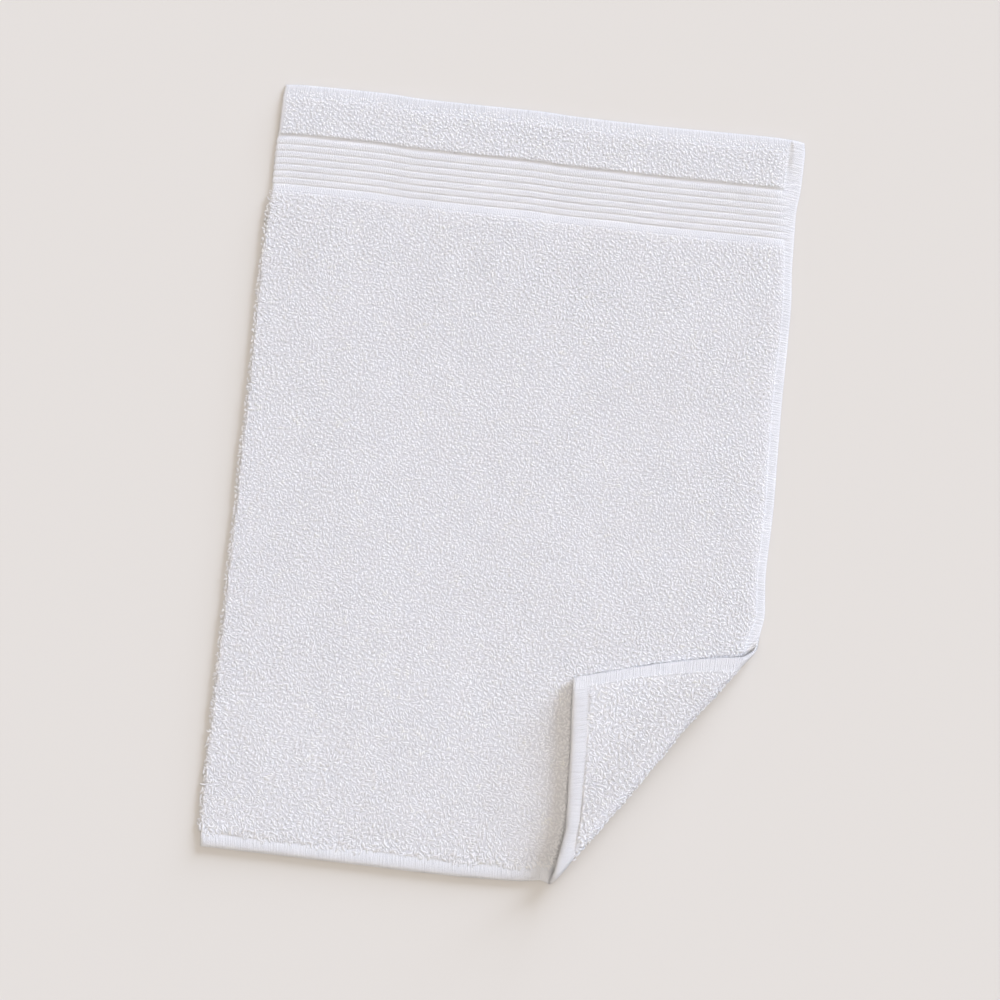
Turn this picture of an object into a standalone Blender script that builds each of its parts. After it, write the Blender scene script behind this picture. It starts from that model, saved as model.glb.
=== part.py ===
"""White terry hand towel lying flat, with one corner folded over onto its face.

It is one piece of cloth, so it is one closed body. X runs across the towel, Y runs along
it towards the end with the ribbed border, and Z is up. The origin is under the middle of
the towel, on the surface that it lies on.

The cloth is first drawn flat as a grid whose rows and columns follow the hems, the ribs
and the selvedges. It is then cut along lines parallel to the fold, given its thickness,
and laid down: the long edges sway, and the corner past the fold rolls up and over.
"""

import math
from typing import NamedTuple

import bmesh
import bpy
from mathutils import Vector

MM = 0.001

# Overall size, over the widest places of the swaying edges
WIDTH = 516 * MM
LENGTH = 738 * MM

# Zones, from the border end towards the plain end
TOP_HEM = 11 * MM
HEADER_END = 48 * MM
RIBS_START = 51.2 * MM
RIB_COUNT = 7
RIB_PITCH = 6.4 * MM
RIBS_END = RIBS_START + RIB_COUNT * RIB_PITCH
STRIP = 6.4 * MM            # smooth strip between the last rib and the terry field
BOTTOM_HEM = 14 * MM

# Thicknesses, all measured from the surface that the towel lies on
TERRY = 5.5 * MM
HEADER = 5.2 * MM
HEM = 3.2 * MM
GROOVE = 2.2 * MM
RIB_FOOT = 2.4 * MM
RIB_CREST = 3.4 * MM
RIB_SHOULDER = 3.1 * MM
SELVEDGE = 2.3 * MM
STEP = 1.2 * MM             # width over which the pile drops to a flat zone
PILE_RISE = 3 * MM          # softer rise from the smooth strip to the terry field
RIM = 4 * MM                # width over which an outer edge rounds down
RIM_MIDDLE = 1.2 * MM       # where the grid has one more line in that width
RIM_FOOT = 0.35             # share of the thickness left at the very edge
RIB_RISE = 0.18             # shares of a rib's pitch: where its crest comes,
RIB_FALL = 0.84             # and where its shoulder drops to the next foot

# Soft unevenness of the pile: its height, and each wave's count per metre across and along
WAVE_HEIGHT = 0.35 * MM
WAVES = ((5.9, 1.7), (-4.1, 4.3))

# Grid
COLUMN_STEP = 40 * MM
ROW_STEP = 25 * MM

# The fold: its direction from +X, and how far its outer line lies from the origin
FOLD_ANGLE = math.radians(54.7)
FOLD_REACH = 281 * MM
ROLL_RADIUS = 7.5 * MM      # of the cloth's middle round the fold
DIP = math.radians(12)      # how steeply the flap comes down past the fold
LANDING_RADIUS = 60 * MM    # of the bend where the flap levels out
LAYER_GAP = 1.2 * MM        # between the flap and the face under it
ROLL_STEPS = 8
FLAP_TIP = Vector((82.6 * MM, -168 * MM))     # where the folded corner comes to lie


class Side(NamedTuple):
    """How far the long edges stand in from the overall width at one place."""

    along: float
    left: float
    right: float
    selvedge: float         # width of the flat selvedge on the right


class End(NamedTuple):
    """How far the short edges stand in from the overall length at one place."""

    across: float
    top: float
    bottom: float


class Slide(NamedTuple):
    """How far the folded corner has slid along the fold, by share of its depth."""

    depth: float
    slide: float


SIDES = (
    Side(-369 * MM, 3.0 * MM, 4.0 * MM, 10 * MM),
    Side(-340 * MM, 0.0 * MM, 4.0 * MM, 10 * MM),
    Side(-310 * MM, 0.2 * MM, 4.0 * MM, 10 * MM),
    Side(-220 * MM, 1.1 * MM, 4.0 * MM, 11 * MM),
    Side(-120 * MM, 1.3 * MM, 4.2 * MM, 12 * MM),
    Side(-88 * MM, 0.7 * MM, 0.0 * MM, 9 * MM),
    Side(-75 * MM, 0.0 * MM, 1.2 * MM, 9 * MM),
    Side(-45 * MM, 1.4 * MM, 3.4 * MM, 9 * MM),
    Side(10 * MM, 0.2 * MM, 2.7 * MM, 9 * MM),
    Side(70 * MM, 1.1 * MM, 4.4 * MM, 10 * MM),
    Side(125 * MM, 1.0 * MM, 5.8 * MM, 10 * MM),
    Side(186 * MM, 0.0 * MM, 6.3 * MM, 9 * MM),
    Side(213 * MM, 0.1 * MM, 7.0 * MM, 9 * MM),
    Side(245 * MM, 0.5 * MM, 9.8 * MM, 9 * MM),
    Side(272 * MM, 1.8 * MM, 10.8 * MM, 11 * MM),
    Side(300 * MM, 1.4 * MM, 11.8 * MM, 12 * MM),
    Side(326 * MM, 1.7 * MM, 9.6 * MM, 18 * MM),
    Side(357 * MM, 2.4 * MM, 9.4 * MM, 18 * MM),
    Side(369 * MM, 4.1 * MM, 11.3 * MM, 12 * MM),
)

ENDS = (
    End(-258 * MM, 2.5 * MM, 2.5 * MM),
    End(-240 * MM, 1.0 * MM, 3.2 * MM),
    End(-160 * MM, 0.4 * MM, 2.3 * MM),
    End(-120 * MM, 1.8 * MM, 2.4 * MM),
    End(-50 * MM, 1.2 * MM, 1.3 * MM),
    End(-8 * MM, 0.0 * MM, 0.0 * MM),
    End(32 * MM, 3.2 * MM, 0.9 * MM),
    End(110 * MM, 2.8 * MM, 2.0 * MM),
    End(228 * MM, 1.9 * MM, 2.0 * MM),
    End(258 * MM, 6.0 * MM, 2.0 * MM),
)

SLIDES = (
    Slide(0.00, 0.0 * MM),
    Slide(0.10, 4.0 * MM),
    Slide(0.30, 22.0 * MM),
    Slide(0.60, 43.0 * MM),
    Slide(1.00, 64.0 * MM),
)

# The hem keeps its width on the folded corner, where the cloth is drawn together
HEM_SPREAD = 6 * MM
HEM_SPREAD_FADE = 80 * MM
HEM_SPREAD_START = 45 * MM

CLOTH_PLACE = "cloth_place"     # mesh layer: a point's place on the flat cloth
CUT_SNAP = 0.01 * MM        # a cut takes the grid's own point where it passes this close
SHARP_ANGLE = math.radians(50)

COTTON = (0.86, 0.86, 0.88, 1.0)
COTTON_ROUGHNESS = 0.92


def ease(share):
    """Rise smoothly from 0 to 1 as share does."""
    share = min(max(share, 0.0), 1.0)
    return share * share * (3.0 - 2.0 * share)


def blend(low, high, share):
    """Pass smoothly from one value to another as share rises from 0 to 1."""
    return low + (high - low) * ease(share)


def steady(table, column, place):
    """Read a table's column at a place, on a smooth curve that never overshoots a row."""
    places = [row[0] for row in table]
    values = [getattr(row, column) for row in table]
    if place <= places[0]:
        return values[0]
    if place >= places[-1]:
        return values[-1]
    slopes = [(values[i + 1] - values[i]) / (places[i + 1] - places[i])
              for i in range(len(table) - 1)]

    def tangent(i):
        if i in (0, len(slopes)):
            return slopes[min(i, len(slopes) - 1)]
        before, after = slopes[i - 1], slopes[i]
        return 0.0 if before * after <= 0 else 2.0 * before * after / (before + after)

    i = max(k for k in range(len(slopes)) if places[k] <= place)
    span = places[i + 1] - places[i]
    t = (place - places[i]) / span
    rise = ease(t)
    return (values[i] * (1.0 - rise) + values[i + 1] * rise
            + span * t * (1.0 - t) * ((1.0 - t) * tangent(i) - t * tangent(i + 1)))


def rows_from_border_end():
    """Distances of the grid's rows from the border end."""
    rows = [0.0, RIM_MIDDLE, RIM, TOP_HEM - STEP / 2, TOP_HEM + STEP / 2]
    rows += [(TOP_HEM + HEADER_END) / 2, HEADER_END - STEP / 2, HEADER_END + STEP / 2]
    for rib in range(RIB_COUNT):
        foot = RIBS_START + rib * RIB_PITCH
        rows += [foot, foot + RIB_RISE * RIB_PITCH, foot + RIB_FALL * RIB_PITCH]
    rows += [RIBS_END, RIBS_END + RIB_RISE * RIB_PITCH, RIBS_END + STRIP]
    first = RIBS_END + STRIP + PILE_RISE
    last = LENGTH - BOTTOM_HEM - STEP / 2
    steps = round((last - first) / ROW_STEP)
    rows += [first + (last - first) * k / steps for k in range(steps + 1)]
    return rows + [last + STEP, LENGTH - RIM, LENGTH - RIM_MIDDLE, LENGTH]


def columns_from_left(along):
    """Distances of the grid's columns from the left edge, at a place along the towel."""
    inner = WIDTH - steady(SIDES, "selvedge", along) - STEP / 2
    steps = round(WIDTH / COLUMN_STEP)
    columns = [0.0, RIM_MIDDLE]
    columns += [RIM + (inner - RIM) * k / steps for k in range(steps + 1)]
    return columns + [inner + STEP, WIDTH - RIM, WIDTH - RIM_MIDDLE, WIDTH]


def rib_height(place):
    """Thickness of the ribbed border at a distance from its first rib's foot."""
    share = (place % RIB_PITCH) / RIB_PITCH
    if share < RIB_RISE:
        return blend(RIB_FOOT, RIB_CREST, share / RIB_RISE)
    if share < RIB_FALL:
        return blend(RIB_CREST, RIB_SHOULDER, (share - RIB_RISE) / (RIB_FALL - RIB_RISE))
    return blend(RIB_SHOULDER, RIB_FOOT, (share - RIB_FALL) / (1.0 - RIB_FALL))


def terry_height(across, along):
    """Thickness of the pile, with its soft waves."""
    waves = sum(math.sin(2 * math.pi * (over * across + down * along)) for over, down in WAVES)
    return TERRY + WAVE_HEIGHT * waves / len(WAVES)


def zone_height(across, along):
    """Thickness by zone along the towel, away from the edges' rounding."""
    place = LENGTH / 2 - along
    terry = terry_height(across, along)
    if place < HEADER_END - STEP / 2:
        return blend(HEM, HEADER, (place - TOP_HEM) / STEP + 0.5)
    if place < RIBS_START:
        return blend(HEADER, GROOVE, (place - HEADER_END) / STEP + 0.5)
    if place < RIBS_END:
        return rib_height(place - RIBS_START)
    if place < RIBS_END + STRIP:
        return blend(RIB_FOOT, RIB_CREST, (place - RIBS_END) / (RIB_RISE * RIB_PITCH))
    if place < LENGTH - BOTTOM_HEM - STEP / 2:
        return blend(RIB_CREST, terry, (place - RIBS_END - STRIP) / PILE_RISE)
    return blend(terry, HEM, (place - LENGTH + BOTTOM_HEM) / STEP + 0.5)


def thickness(across, along):
    """Thickness of the cloth at a place on it, rounded down at its outer edges."""
    from_right = WIDTH / 2 - across
    height = zone_height(across, along)
    if height > SELVEDGE:
        selvedge = steady(SIDES, "selvedge", along)
        height = blend(SELVEDGE, height, (from_right - selvedge) / STEP + 0.5)
    from_edge = min(from_right, across + WIDTH / 2, LENGTH / 2 - along, along + LENGTH / 2)
    inset = 1.0 - min(from_edge / RIM, 1.0)
    return height * (RIM_FOOT + (1.0 - RIM_FOOT) * math.sqrt(max(1.0 - inset * inset, 0.0)))


def sway(across, along):
    """Plan position of a place on the cloth, with the edges' sway, before the fold."""
    right = across / WIDTH + 0.5
    top = along / LENGTH + 0.5
    x = (across + (1.0 - right) * steady(SIDES, "left", along)
         - right * steady(SIDES, "right", along))
    y = (along + (1.0 - top) * steady(ENDS, "bottom", across)
         - top * steady(ENDS, "top", across))
    return Vector((x, y))


class Fold:
    """The roll that turns the towel's corner over, and where it puts the cloth."""

    def __init__(self):
        """Work out the fold's line, its bends and how the corner is drawn together."""
        self.along = Vector((math.cos(FOLD_ANGLE), math.sin(FOLD_ANGLE)))
        self.out = Vector((math.sin(FOLD_ANGLE), -math.cos(FOLD_ANGLE)))
        self.start = FOLD_REACH - ROLL_RADIUS - TERRY / 2
        fall = (ROLL_RADIUS * (1.0 + math.cos(DIP)) - TERRY - LAYER_GAP
                - LANDING_RADIUS * (1.0 - math.cos(DIP)))
        self.bends = (
            (ROLL_RADIUS * (math.pi + DIP), math.pi + DIP),
            (fall / math.sin(DIP), 0.0),
            (LANDING_RADIUS * DIP, -DIP),
            (LENGTH, 0.0),
        )
        corner = sway(WIDTH / 2, -LENGTH / 2)
        self.depth = corner.dot(self.out) - self.start
        bent = sum(length for length, _ in self.bends[:3])
        flat = self.profile(bent)[0] + self.start - FLAP_TIP.dot(self.out)
        self.drawn = (bent + flat) / self.depth

    def profile(self, arc):
        """Outward reach, height and heading of the cloth's middle, an arc past the start."""
        reach, height, heading = 0.0, 0.0, 0.0
        for length, turn in self.bends:
            step = min(arc, length)
            angle = turn * step / length
            if turn:
                radius = length / turn
                reach += radius * (math.sin(heading + angle) - math.sin(heading))
                height += radius * (math.cos(heading) - math.cos(heading + angle))
            else:
                reach += step * math.cos(heading)
                height += step * math.sin(heading)
            heading += angle
            arc -= step
        return reach, height, heading

    def cut_depths(self):
        """Distances past the start at which the flat cloth is cut across."""
        roll, fall, landing = (length for length, _ in self.bends[:3])
        arcs = [roll * k / ROLL_STEPS for k in range(ROLL_STEPS + 1)]
        arcs += [roll + fall / 2, roll + fall, roll + fall + landing / 2, roll + fall + landing]
        return [arc / self.drawn for arc in arcs]

    def spread_hem(self, plan, along, past):
        """Draw the folded corner's hem out to its full width, away from the fold."""
        from_hem = along + LENGTH / 2
        beyond = max(from_hem - BOTTOM_HEM, 0.0)
        share = max(min(from_hem / BOTTOM_HEM, 1.0) - beyond / HEM_SPREAD_FADE, 0.0)
        return plan + Vector((0.0, HEM_SPREAD * share * ease(past / HEM_SPREAD_START)))

    def place(self, across, along, upper):
        """Point of the laid towel on the cloth's upper or lower face."""
        plan = sway(across, along)
        height = thickness(across, along)
        past = plan.dot(self.out) - self.start
        if past <= 0.0:
            return Vector((plan.x, plan.y, height if upper else 0.0))
        plan = self.spread_hem(plan, along, past)
        past = plan.dot(self.out) - self.start
        slid = plan.dot(self.along) + steady(SLIDES, "slide", past / self.depth)
        arc = past * self.drawn
        reach, rise, heading = self.profile(arc)
        # The thinner zones lie low on the flat cloth, and low on the flap's shown underside
        low, high = TERRY / 2, height - TERRY / 2
        turned = arc / self.bends[0][0]
        offset = blend(high, low, turned) if upper else -blend(low, high, turned)
        flat = self.along * slid + self.out * (self.start + reach - offset * math.sin(heading))
        return Vector((flat.x, flat.y, TERRY / 2 + rise + offset * math.cos(heading)))


def flat_cloth():
    """Grid of the cloth in its swayed plan, with each point's place on the cloth kept."""
    grid = bmesh.new()
    layer = grid.verts.layers.float_vector.new(CLOTH_PLACE)
    lines = []
    for row in rows_from_border_end():
        along = LENGTH / 2 - row
        line = []
        for column in columns_from_left(along):
            across = column - WIDTH / 2
            vertex = grid.verts.new(sway(across, along).to_3d())
            vertex[layer] = (across, along, 0.0)
            line.append(vertex)
        lines.append(line)
    for above, below in zip(lines, lines[1:]):
        for k in range(len(above) - 1):
            grid.faces.new((below[k], below[k + 1], above[k + 1], above[k]))
    return grid


def build_towel(fold):
    """Mesh of the whole towel as one closed body."""
    cloth = flat_cloth()
    for depth in fold.cut_depths():
        line = fold.out * (fold.start + depth)
        bmesh.ops.bisect_plane(cloth, geom=cloth.verts[:] + cloth.edges[:] + cloth.faces[:],
                               dist=CUT_SNAP, plane_co=line.to_3d(),
                               plane_no=fold.out.to_3d())
    bmesh.ops.triangulate(cloth, faces=cloth.faces[:])
    extruded = bmesh.ops.extrude_face_region(cloth, geom=cloth.faces[:], use_keep_orig=True)
    upper = {part for part in extruded["geom"] if isinstance(part, bmesh.types.BMVert)}
    layer = cloth.verts.layers.float_vector[CLOTH_PLACE]
    for vertex in cloth.verts:
        across, along, _ = vertex[layer]
        vertex.co = fold.place(across, along, vertex in upper)
    bmesh.ops.recalc_face_normals(cloth, faces=cloth.faces[:])
    mesh = bpy.data.meshes.new("towel")
    cloth.to_mesh(mesh)
    cloth.free()
    mesh.shade_smooth()
    mesh.set_sharp_from_angle(angle=SHARP_ANGLE)
    return mesh


def cotton_material():
    """Matt white cotton."""
    material = bpy.data.materials.new("terry_cotton")
    material.use_nodes = True
    shader = material.node_tree.nodes["Principled BSDF"]
    shader.inputs["Base Color"].default_value = COTTON
    shader.inputs["Roughness"].default_value = COTTON_ROUGHNESS
    shader.inputs["Metallic"].default_value = 0.0
    return material


def main():
    """Clear the file and build the towel."""
    for old in list(bpy.data.objects):
        bpy.data.objects.remove(old, do_unlink=True)
    mesh = build_towel(Fold())
    mesh.materials.append(cotton_material())
    bpy.context.collection.objects.link(bpy.data.objects.new("towel", mesh))


main()
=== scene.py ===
"""Looks of a white terry hand towel that lies flat with one corner folded over.

The towel is a ground cloth with a short pile of cotton loops on it. The ground is one
closed sheet with its hems, its ribbed border and its selvedge in relief. The loops are
lying strands of yarn, set down one by one where there is room, and joined by zone.

Everything is placed through the same lay of the cloth: a place on the flat cloth is
first drawn out in plan, with the edges' sway and the corner's draw, and then rolled over
the fold. Sizes are in metres. X runs across the towel, Y towards its border end, Z up.
"""

import logging
import math
from collections.abc import Iterator
from contextlib import contextmanager
from dataclasses import dataclass
from enum import Enum

import bpy
import numpy as np
from mathutils import Euler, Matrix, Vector


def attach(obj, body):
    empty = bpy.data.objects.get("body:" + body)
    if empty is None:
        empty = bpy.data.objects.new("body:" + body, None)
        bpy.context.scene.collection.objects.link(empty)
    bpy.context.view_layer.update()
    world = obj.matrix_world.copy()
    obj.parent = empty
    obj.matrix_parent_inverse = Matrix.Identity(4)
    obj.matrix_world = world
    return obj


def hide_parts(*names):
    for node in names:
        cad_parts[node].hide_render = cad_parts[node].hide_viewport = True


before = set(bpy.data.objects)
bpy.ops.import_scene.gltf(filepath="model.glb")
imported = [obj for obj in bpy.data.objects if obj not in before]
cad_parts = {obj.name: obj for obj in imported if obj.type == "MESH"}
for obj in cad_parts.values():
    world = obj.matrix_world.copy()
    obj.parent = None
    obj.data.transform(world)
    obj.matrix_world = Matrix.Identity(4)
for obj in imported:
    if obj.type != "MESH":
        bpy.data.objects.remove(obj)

LOG = logging.getLogger("towel")

MM = 0.001
NODE = "towel"
BODY = "root"
SEED = 41

Array = np.ndarray


class Face(Enum):
    """The two faces of the cloth; the value is the sign of a height above its middle."""

    UPPER = 1.0
    LOWER = -1.0


def ease(share: Array) -> Array:
    """Rise smoothly from 0 to 1 as share does."""
    share = np.clip(share, 0.0, 1.0)
    return share * share * (3.0 - 2.0 * share)


def blend(low: Array, high: Array, share: Array) -> Array:
    """Pass smoothly from one value to another as share rises from 0 to 1."""
    return low + (high - low) * ease(share)


@dataclass(frozen=True)
class Curve:
    """A smooth line through rows of (place, value), in mm, that never overshoots a row."""

    rows: tuple[tuple[float, float], ...]

    def at(self, place: Array) -> Array:
        """Read the curve.

        Args:
            place: Places to read it at, held to the first and last row's.

        Returns:
            The value at each place.
        """
        places, values = (np.array(column) * MM for column in zip(*self.rows))
        slopes = np.diff(values) / np.diff(places)
        before, after = slopes[:-1], slopes[1:]
        total = np.where(before * after > 0.0, before + after, 1.0)
        inner = np.where(before * after > 0.0, 2.0 * before * after / total, 0.0)
        tangents = np.concatenate(([slopes[0]], inner, [slopes[-1]]))
        place = np.clip(place, places[0], places[-1])
        row = np.clip(np.searchsorted(places, place, side="right") - 1, 0, len(slopes) - 1)
        span = places[row + 1] - places[row]
        share = (place - places[row]) / span
        swing = (1.0 - share) * tangents[row] - share * tangents[row + 1]
        return (blend(values[row], values[row + 1], share)
                + span * share * (1.0 - share) * swing)


@dataclass(frozen=True)
class Cloth:
    """The flat cloth: its zones, its thickness and the sway of its edges.

    Attributes:
        width: Width of the flat cloth.
        length: Length of the flat cloth.
        top_hem: Depth of the hem at the border end.
        header_end: Distance from the border end to the end of the header's terry.
        ribs_start: Distance from the border end to the first rib's foot.
        rib_count: Number of ribs.
        rib_pitch: Distance from one rib to the next.
        strip: Depth of the flat strip between the ribs and the field.
        bottom_hem: Depth of the hem at the plain end.
        terry: Thickness of the field, loops and all.
        header: Thickness of the header, loops and all.
        hem: Thickness of a hem at its sides.
        hem_crown: How much thicker a hem is along its middle.
        groove: Thickness in the groove between header and ribs.
        rib_foot: Thickness between two ribs.
        rib_crest: Greatest thickness of a rib.
        rib_shoulder: Thickness at the far side of a rib's back.
        rib_rise: Share of the pitch at which a rib is at its crest.
        rib_fall: Share of the pitch at which its back ends.
        selvedge: Thickness of the selvedge.
        step: Run of the step from one zone to the next.
        side_step: Run of the step down to the selvedge.
        rib_fade: Run over which the ribs fade into the selvedge.
        rib_bulge: How far each rib stands out at the left edge.
        bulge_reach: How far in from the left edge that is felt.
        tuck: Width, length and rise of the selvedge's doubled end at the plain end.
        pile_rise: Run over which the field's ground rises behind the strip.
        rim: Radius of the rounding at the outer edges.
        rim_foot: Share of the thickness that is left at the very edge.
        pile_depth: Depth of the loops over the ground cloth.
        wave_height: Height of the faint waves in the terry.
        waves: Turns of each wave for a metre across and along.
        left_in: How far the left edge lies in from the rectangle, by place along.
        right_in: The same for the right edge.
        selvedge_width: Width of the selvedge, by place along.
        top_in: How far the border end lies in, by place across.
        bottom_in: The same for the plain end.
    """

    width: float = 516 * MM
    length: float = 738 * MM
    top_hem: float = 11 * MM
    header_end: float = 48 * MM
    ribs_start: float = 51.2 * MM
    rib_count: int = 7
    rib_pitch: float = 6.4 * MM
    strip: float = 6.4 * MM
    bottom_hem: float = 14.6 * MM
    terry: float = 5.5 * MM
    header: float = 5.2 * MM
    hem: float = 3.2 * MM
    hem_crown: float = 1.3 * MM
    groove: float = 2.7 * MM
    rib_foot: float = 2.4 * MM
    rib_crest: float = 3.4 * MM
    rib_shoulder: float = 3.1 * MM
    rib_rise: float = 0.18
    rib_fall: float = 0.84
    selvedge: float = 2.3 * MM
    step: float = 1.2 * MM
    side_step: float = 4 * MM
    rib_fade: float = 20 * MM
    rib_bulge: float = 0.9 * MM
    bulge_reach: float = 8 * MM
    tuck: tuple[float, float, float] = (12.5 * MM, 40 * MM, 0.9 * MM)
    pile_rise: float = 3 * MM
    rim: float = 3 * MM
    rim_foot: float = 0.55
    pile_depth: float = 1.7 * MM
    wave_height: float = 0.35 * MM
    waves: tuple[tuple[float, float], ...] = ((5.9, 1.7), (-4.1, 4.3))
    left_in: Curve = Curve((
        (-369, 1.8), (-340, -1.2), (-310, -1.2), (-220, -0.8), (-120, -0.1), (-88, -0.5),
        (-75, -0.6), (-45, 0.4), (10, -0.5), (70, 0.1), (125, -0.2), (186, -0.7),
        (213, -0.5), (245, 0.3), (272, 1.8), (300, 1.6), (326, 2.0), (357, 2.6), (369, 4.1)))
    right_in: Curve = Curve((
        (-369, 4.0), (-340, 4.0), (-310, 4.0), (-220, 4.0), (-120, 4.2), (-88, 0.0),
        (-75, 1.2), (-45, 3.4), (10, 2.7), (70, 4.4), (125, 5.8), (186, 6.3), (213, 7.0),
        (245, 9.8), (272, 10.8), (300, 11.8), (326, 9.6), (357, 9.4), (369, 11.3)))
    selvedge_width: Curve = Curve((
        (-369, 10), (-340, 10), (-310, 10), (-220, 11), (-120, 12), (-88, 9), (-75, 9),
        (-45, 9), (10, 9), (70, 10), (125, 10), (186, 9), (213, 9), (245, 9), (272, 11),
        (300, 12), (326, 18), (357, 18), (369, 12)))
    top_in: Curve = Curve((
        (-258, 3.3), (-240, 1.8), (-160, 1.2), (-120, 2.8), (-50, 2.6), (-8, 2.3),
        (32, 3.7), (110, 4.2), (228, 3.0), (248, 3.9), (258, 5.4)))
    bottom_in: Curve = Curve((
        (-258, -0.6), (-240, -0.7), (-160, -1.4), (-120, -1.8), (-50, -2.7), (-8, -2.8),
        (32, -1.8), (52, -1.0), (78, 2.6), (110, 0.8), (170, -1.9), (228, -2.4),
        (258, -1.2)))

    @property
    def ribs_end(self) -> float:
        """Distance from the border end to the last rib's far foot."""
        return self.ribs_start + self.rib_count * self.rib_pitch

    @property
    def field_start(self) -> float:
        """Distance from the border end to the terry field."""
        return self.ribs_end + self.strip

    @property
    def field_end(self) -> float:
        """Distance from the border end to the plain end's hem."""
        return self.length - self.bottom_hem

    def rib_height(self, place: Array) -> Array:
        """Thickness of the ribbed border.

        Args:
            place: Distances from its first rib's foot.

        Returns:
            The thickness at each place.
        """
        share = np.mod(place, self.rib_pitch) / self.rib_pitch
        run = self.rib_fall - self.rib_rise
        return np.select(
            [share < self.rib_rise, share < self.rib_fall],
            [blend(self.rib_foot, self.rib_crest, share / self.rib_rise),
             blend(self.rib_crest, self.rib_shoulder, (share - self.rib_rise) / run)],
            blend(self.rib_shoulder, self.rib_foot,
                  (share - self.rib_fall) / (1.0 - self.rib_fall)))

    def zone_height(self, across: Array, along: Array, pile: float) -> Array:
        """Thickness by zone along the towel, away from the edges' rounding.

        Args:
            across: Places across the flat cloth, from its middle.
            along: Places along it, towards the border end.
            pile: Depth of the loops that is left out.

        Returns:
            The thickness at each place.
        """
        place = self.length / 2 - along
        waves = sum(np.sin(2 * math.pi * (over * across + down * along))
                    for over, down in self.waves)
        terry = self.terry - pile + self.wave_height * waves / len(self.waves)
        header = self.header - pile
        rise = self.rib_rise * self.rib_pitch
        hem = self.hem + self.hem_crown * self.crown(
            (self.length - place) / self.bottom_hem)
        return np.select(
            [place < self.header_end - self.step / 2, place < self.ribs_start,
             place < self.ribs_end, place < self.field_start,
             place < self.field_end - self.step / 2],
            [blend(hem, header, (place - self.top_hem) / self.step + 0.5),
             blend(header, self.groove, (place - self.header_end) / self.step + 0.5),
             self.rib_height(place - self.ribs_start),
             blend(self.rib_foot, self.rib_crest, (place - self.ribs_end) / rise),
             blend(self.rib_crest, terry, (place - self.field_start) / self.pile_rise)],
            blend(terry, hem, (place - self.field_end) / self.step + 0.5))

    @staticmethod
    def crown(share: Array) -> Array:
        """Height of a padded hem across its width, from 0 at its sides to 1."""
        return np.clip(4.0 * share * (1.0 - share), 0.0, 1.0)

    def thickness(self, across: Array, along: Array, pile: float = 0.0) -> Array:
        """Thickness of the cloth, rounded down at its outer edges.

        Args:
            across: Places across the flat cloth, from its middle.
            along: Places along it, towards the border end.
            pile: Depth of the loops that is left out.

        Returns:
            The thickness at each place.
        """
        from_right = self.width / 2 - across
        height = self.zone_height(across, along, pile)
        place = self.length / 2 - along
        ribbed = (place > self.ribs_start) & (place < self.ribs_end)
        fade = np.where(ribbed, self.rib_fade, self.side_step)
        share = (from_right - self.selvedge_width.at(along)) / fade + 0.5
        width, length, rise = self.tuck
        tuck = (ease((width - from_right) / self.step + 0.5)
                * ease((length - place) / length * 2.0))
        side = self.selvedge + rise * tuck
        height = np.where(height > self.selvedge, blend(side, height, share), height)
        from_edge = np.minimum.reduce([from_right, across + self.width / 2,
                                       self.length / 2 - along, along + self.length / 2])
        inset = 1.0 - np.clip(from_edge / self.rim, 0.0, 1.0)
        round_off = np.sqrt(np.clip(1.0 - inset * inset, 0.0, 1.0))
        return height * (self.rim_foot + (1.0 - self.rim_foot) * round_off)

    def sway(self, across: Array, along: Array) -> tuple[Array, Array]:
        """Draw places on the cloth out in plan, with the edges' sway, before the fold.

        Args:
            across: Places across the flat cloth, from its middle.
            along: Places along it, towards the border end.

        Returns:
            The plan positions' x and y.
        """
        right = across / self.width + 0.5
        top = along / self.length + 0.5
        x = (across + (1.0 - right) * self.left_in.at(along)
             - right * self.right_in.at(along))
        y = (along + (1.0 - top) * self.bottom_in.at(across)
             - top * self.top_in.at(across))
        place = self.length / 2 - along - self.ribs_start
        near = np.clip(1.0 - (across + self.width / 2) / self.bulge_reach, 0.0, 1.0)
        bulge = np.where((place > 0.0) & (place < self.ribs_end - self.ribs_start),
                         self.crown(np.mod(place, self.rib_pitch) / self.rib_pitch), 0.0)
        return x - self.rib_bulge * near * bulge, y


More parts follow.
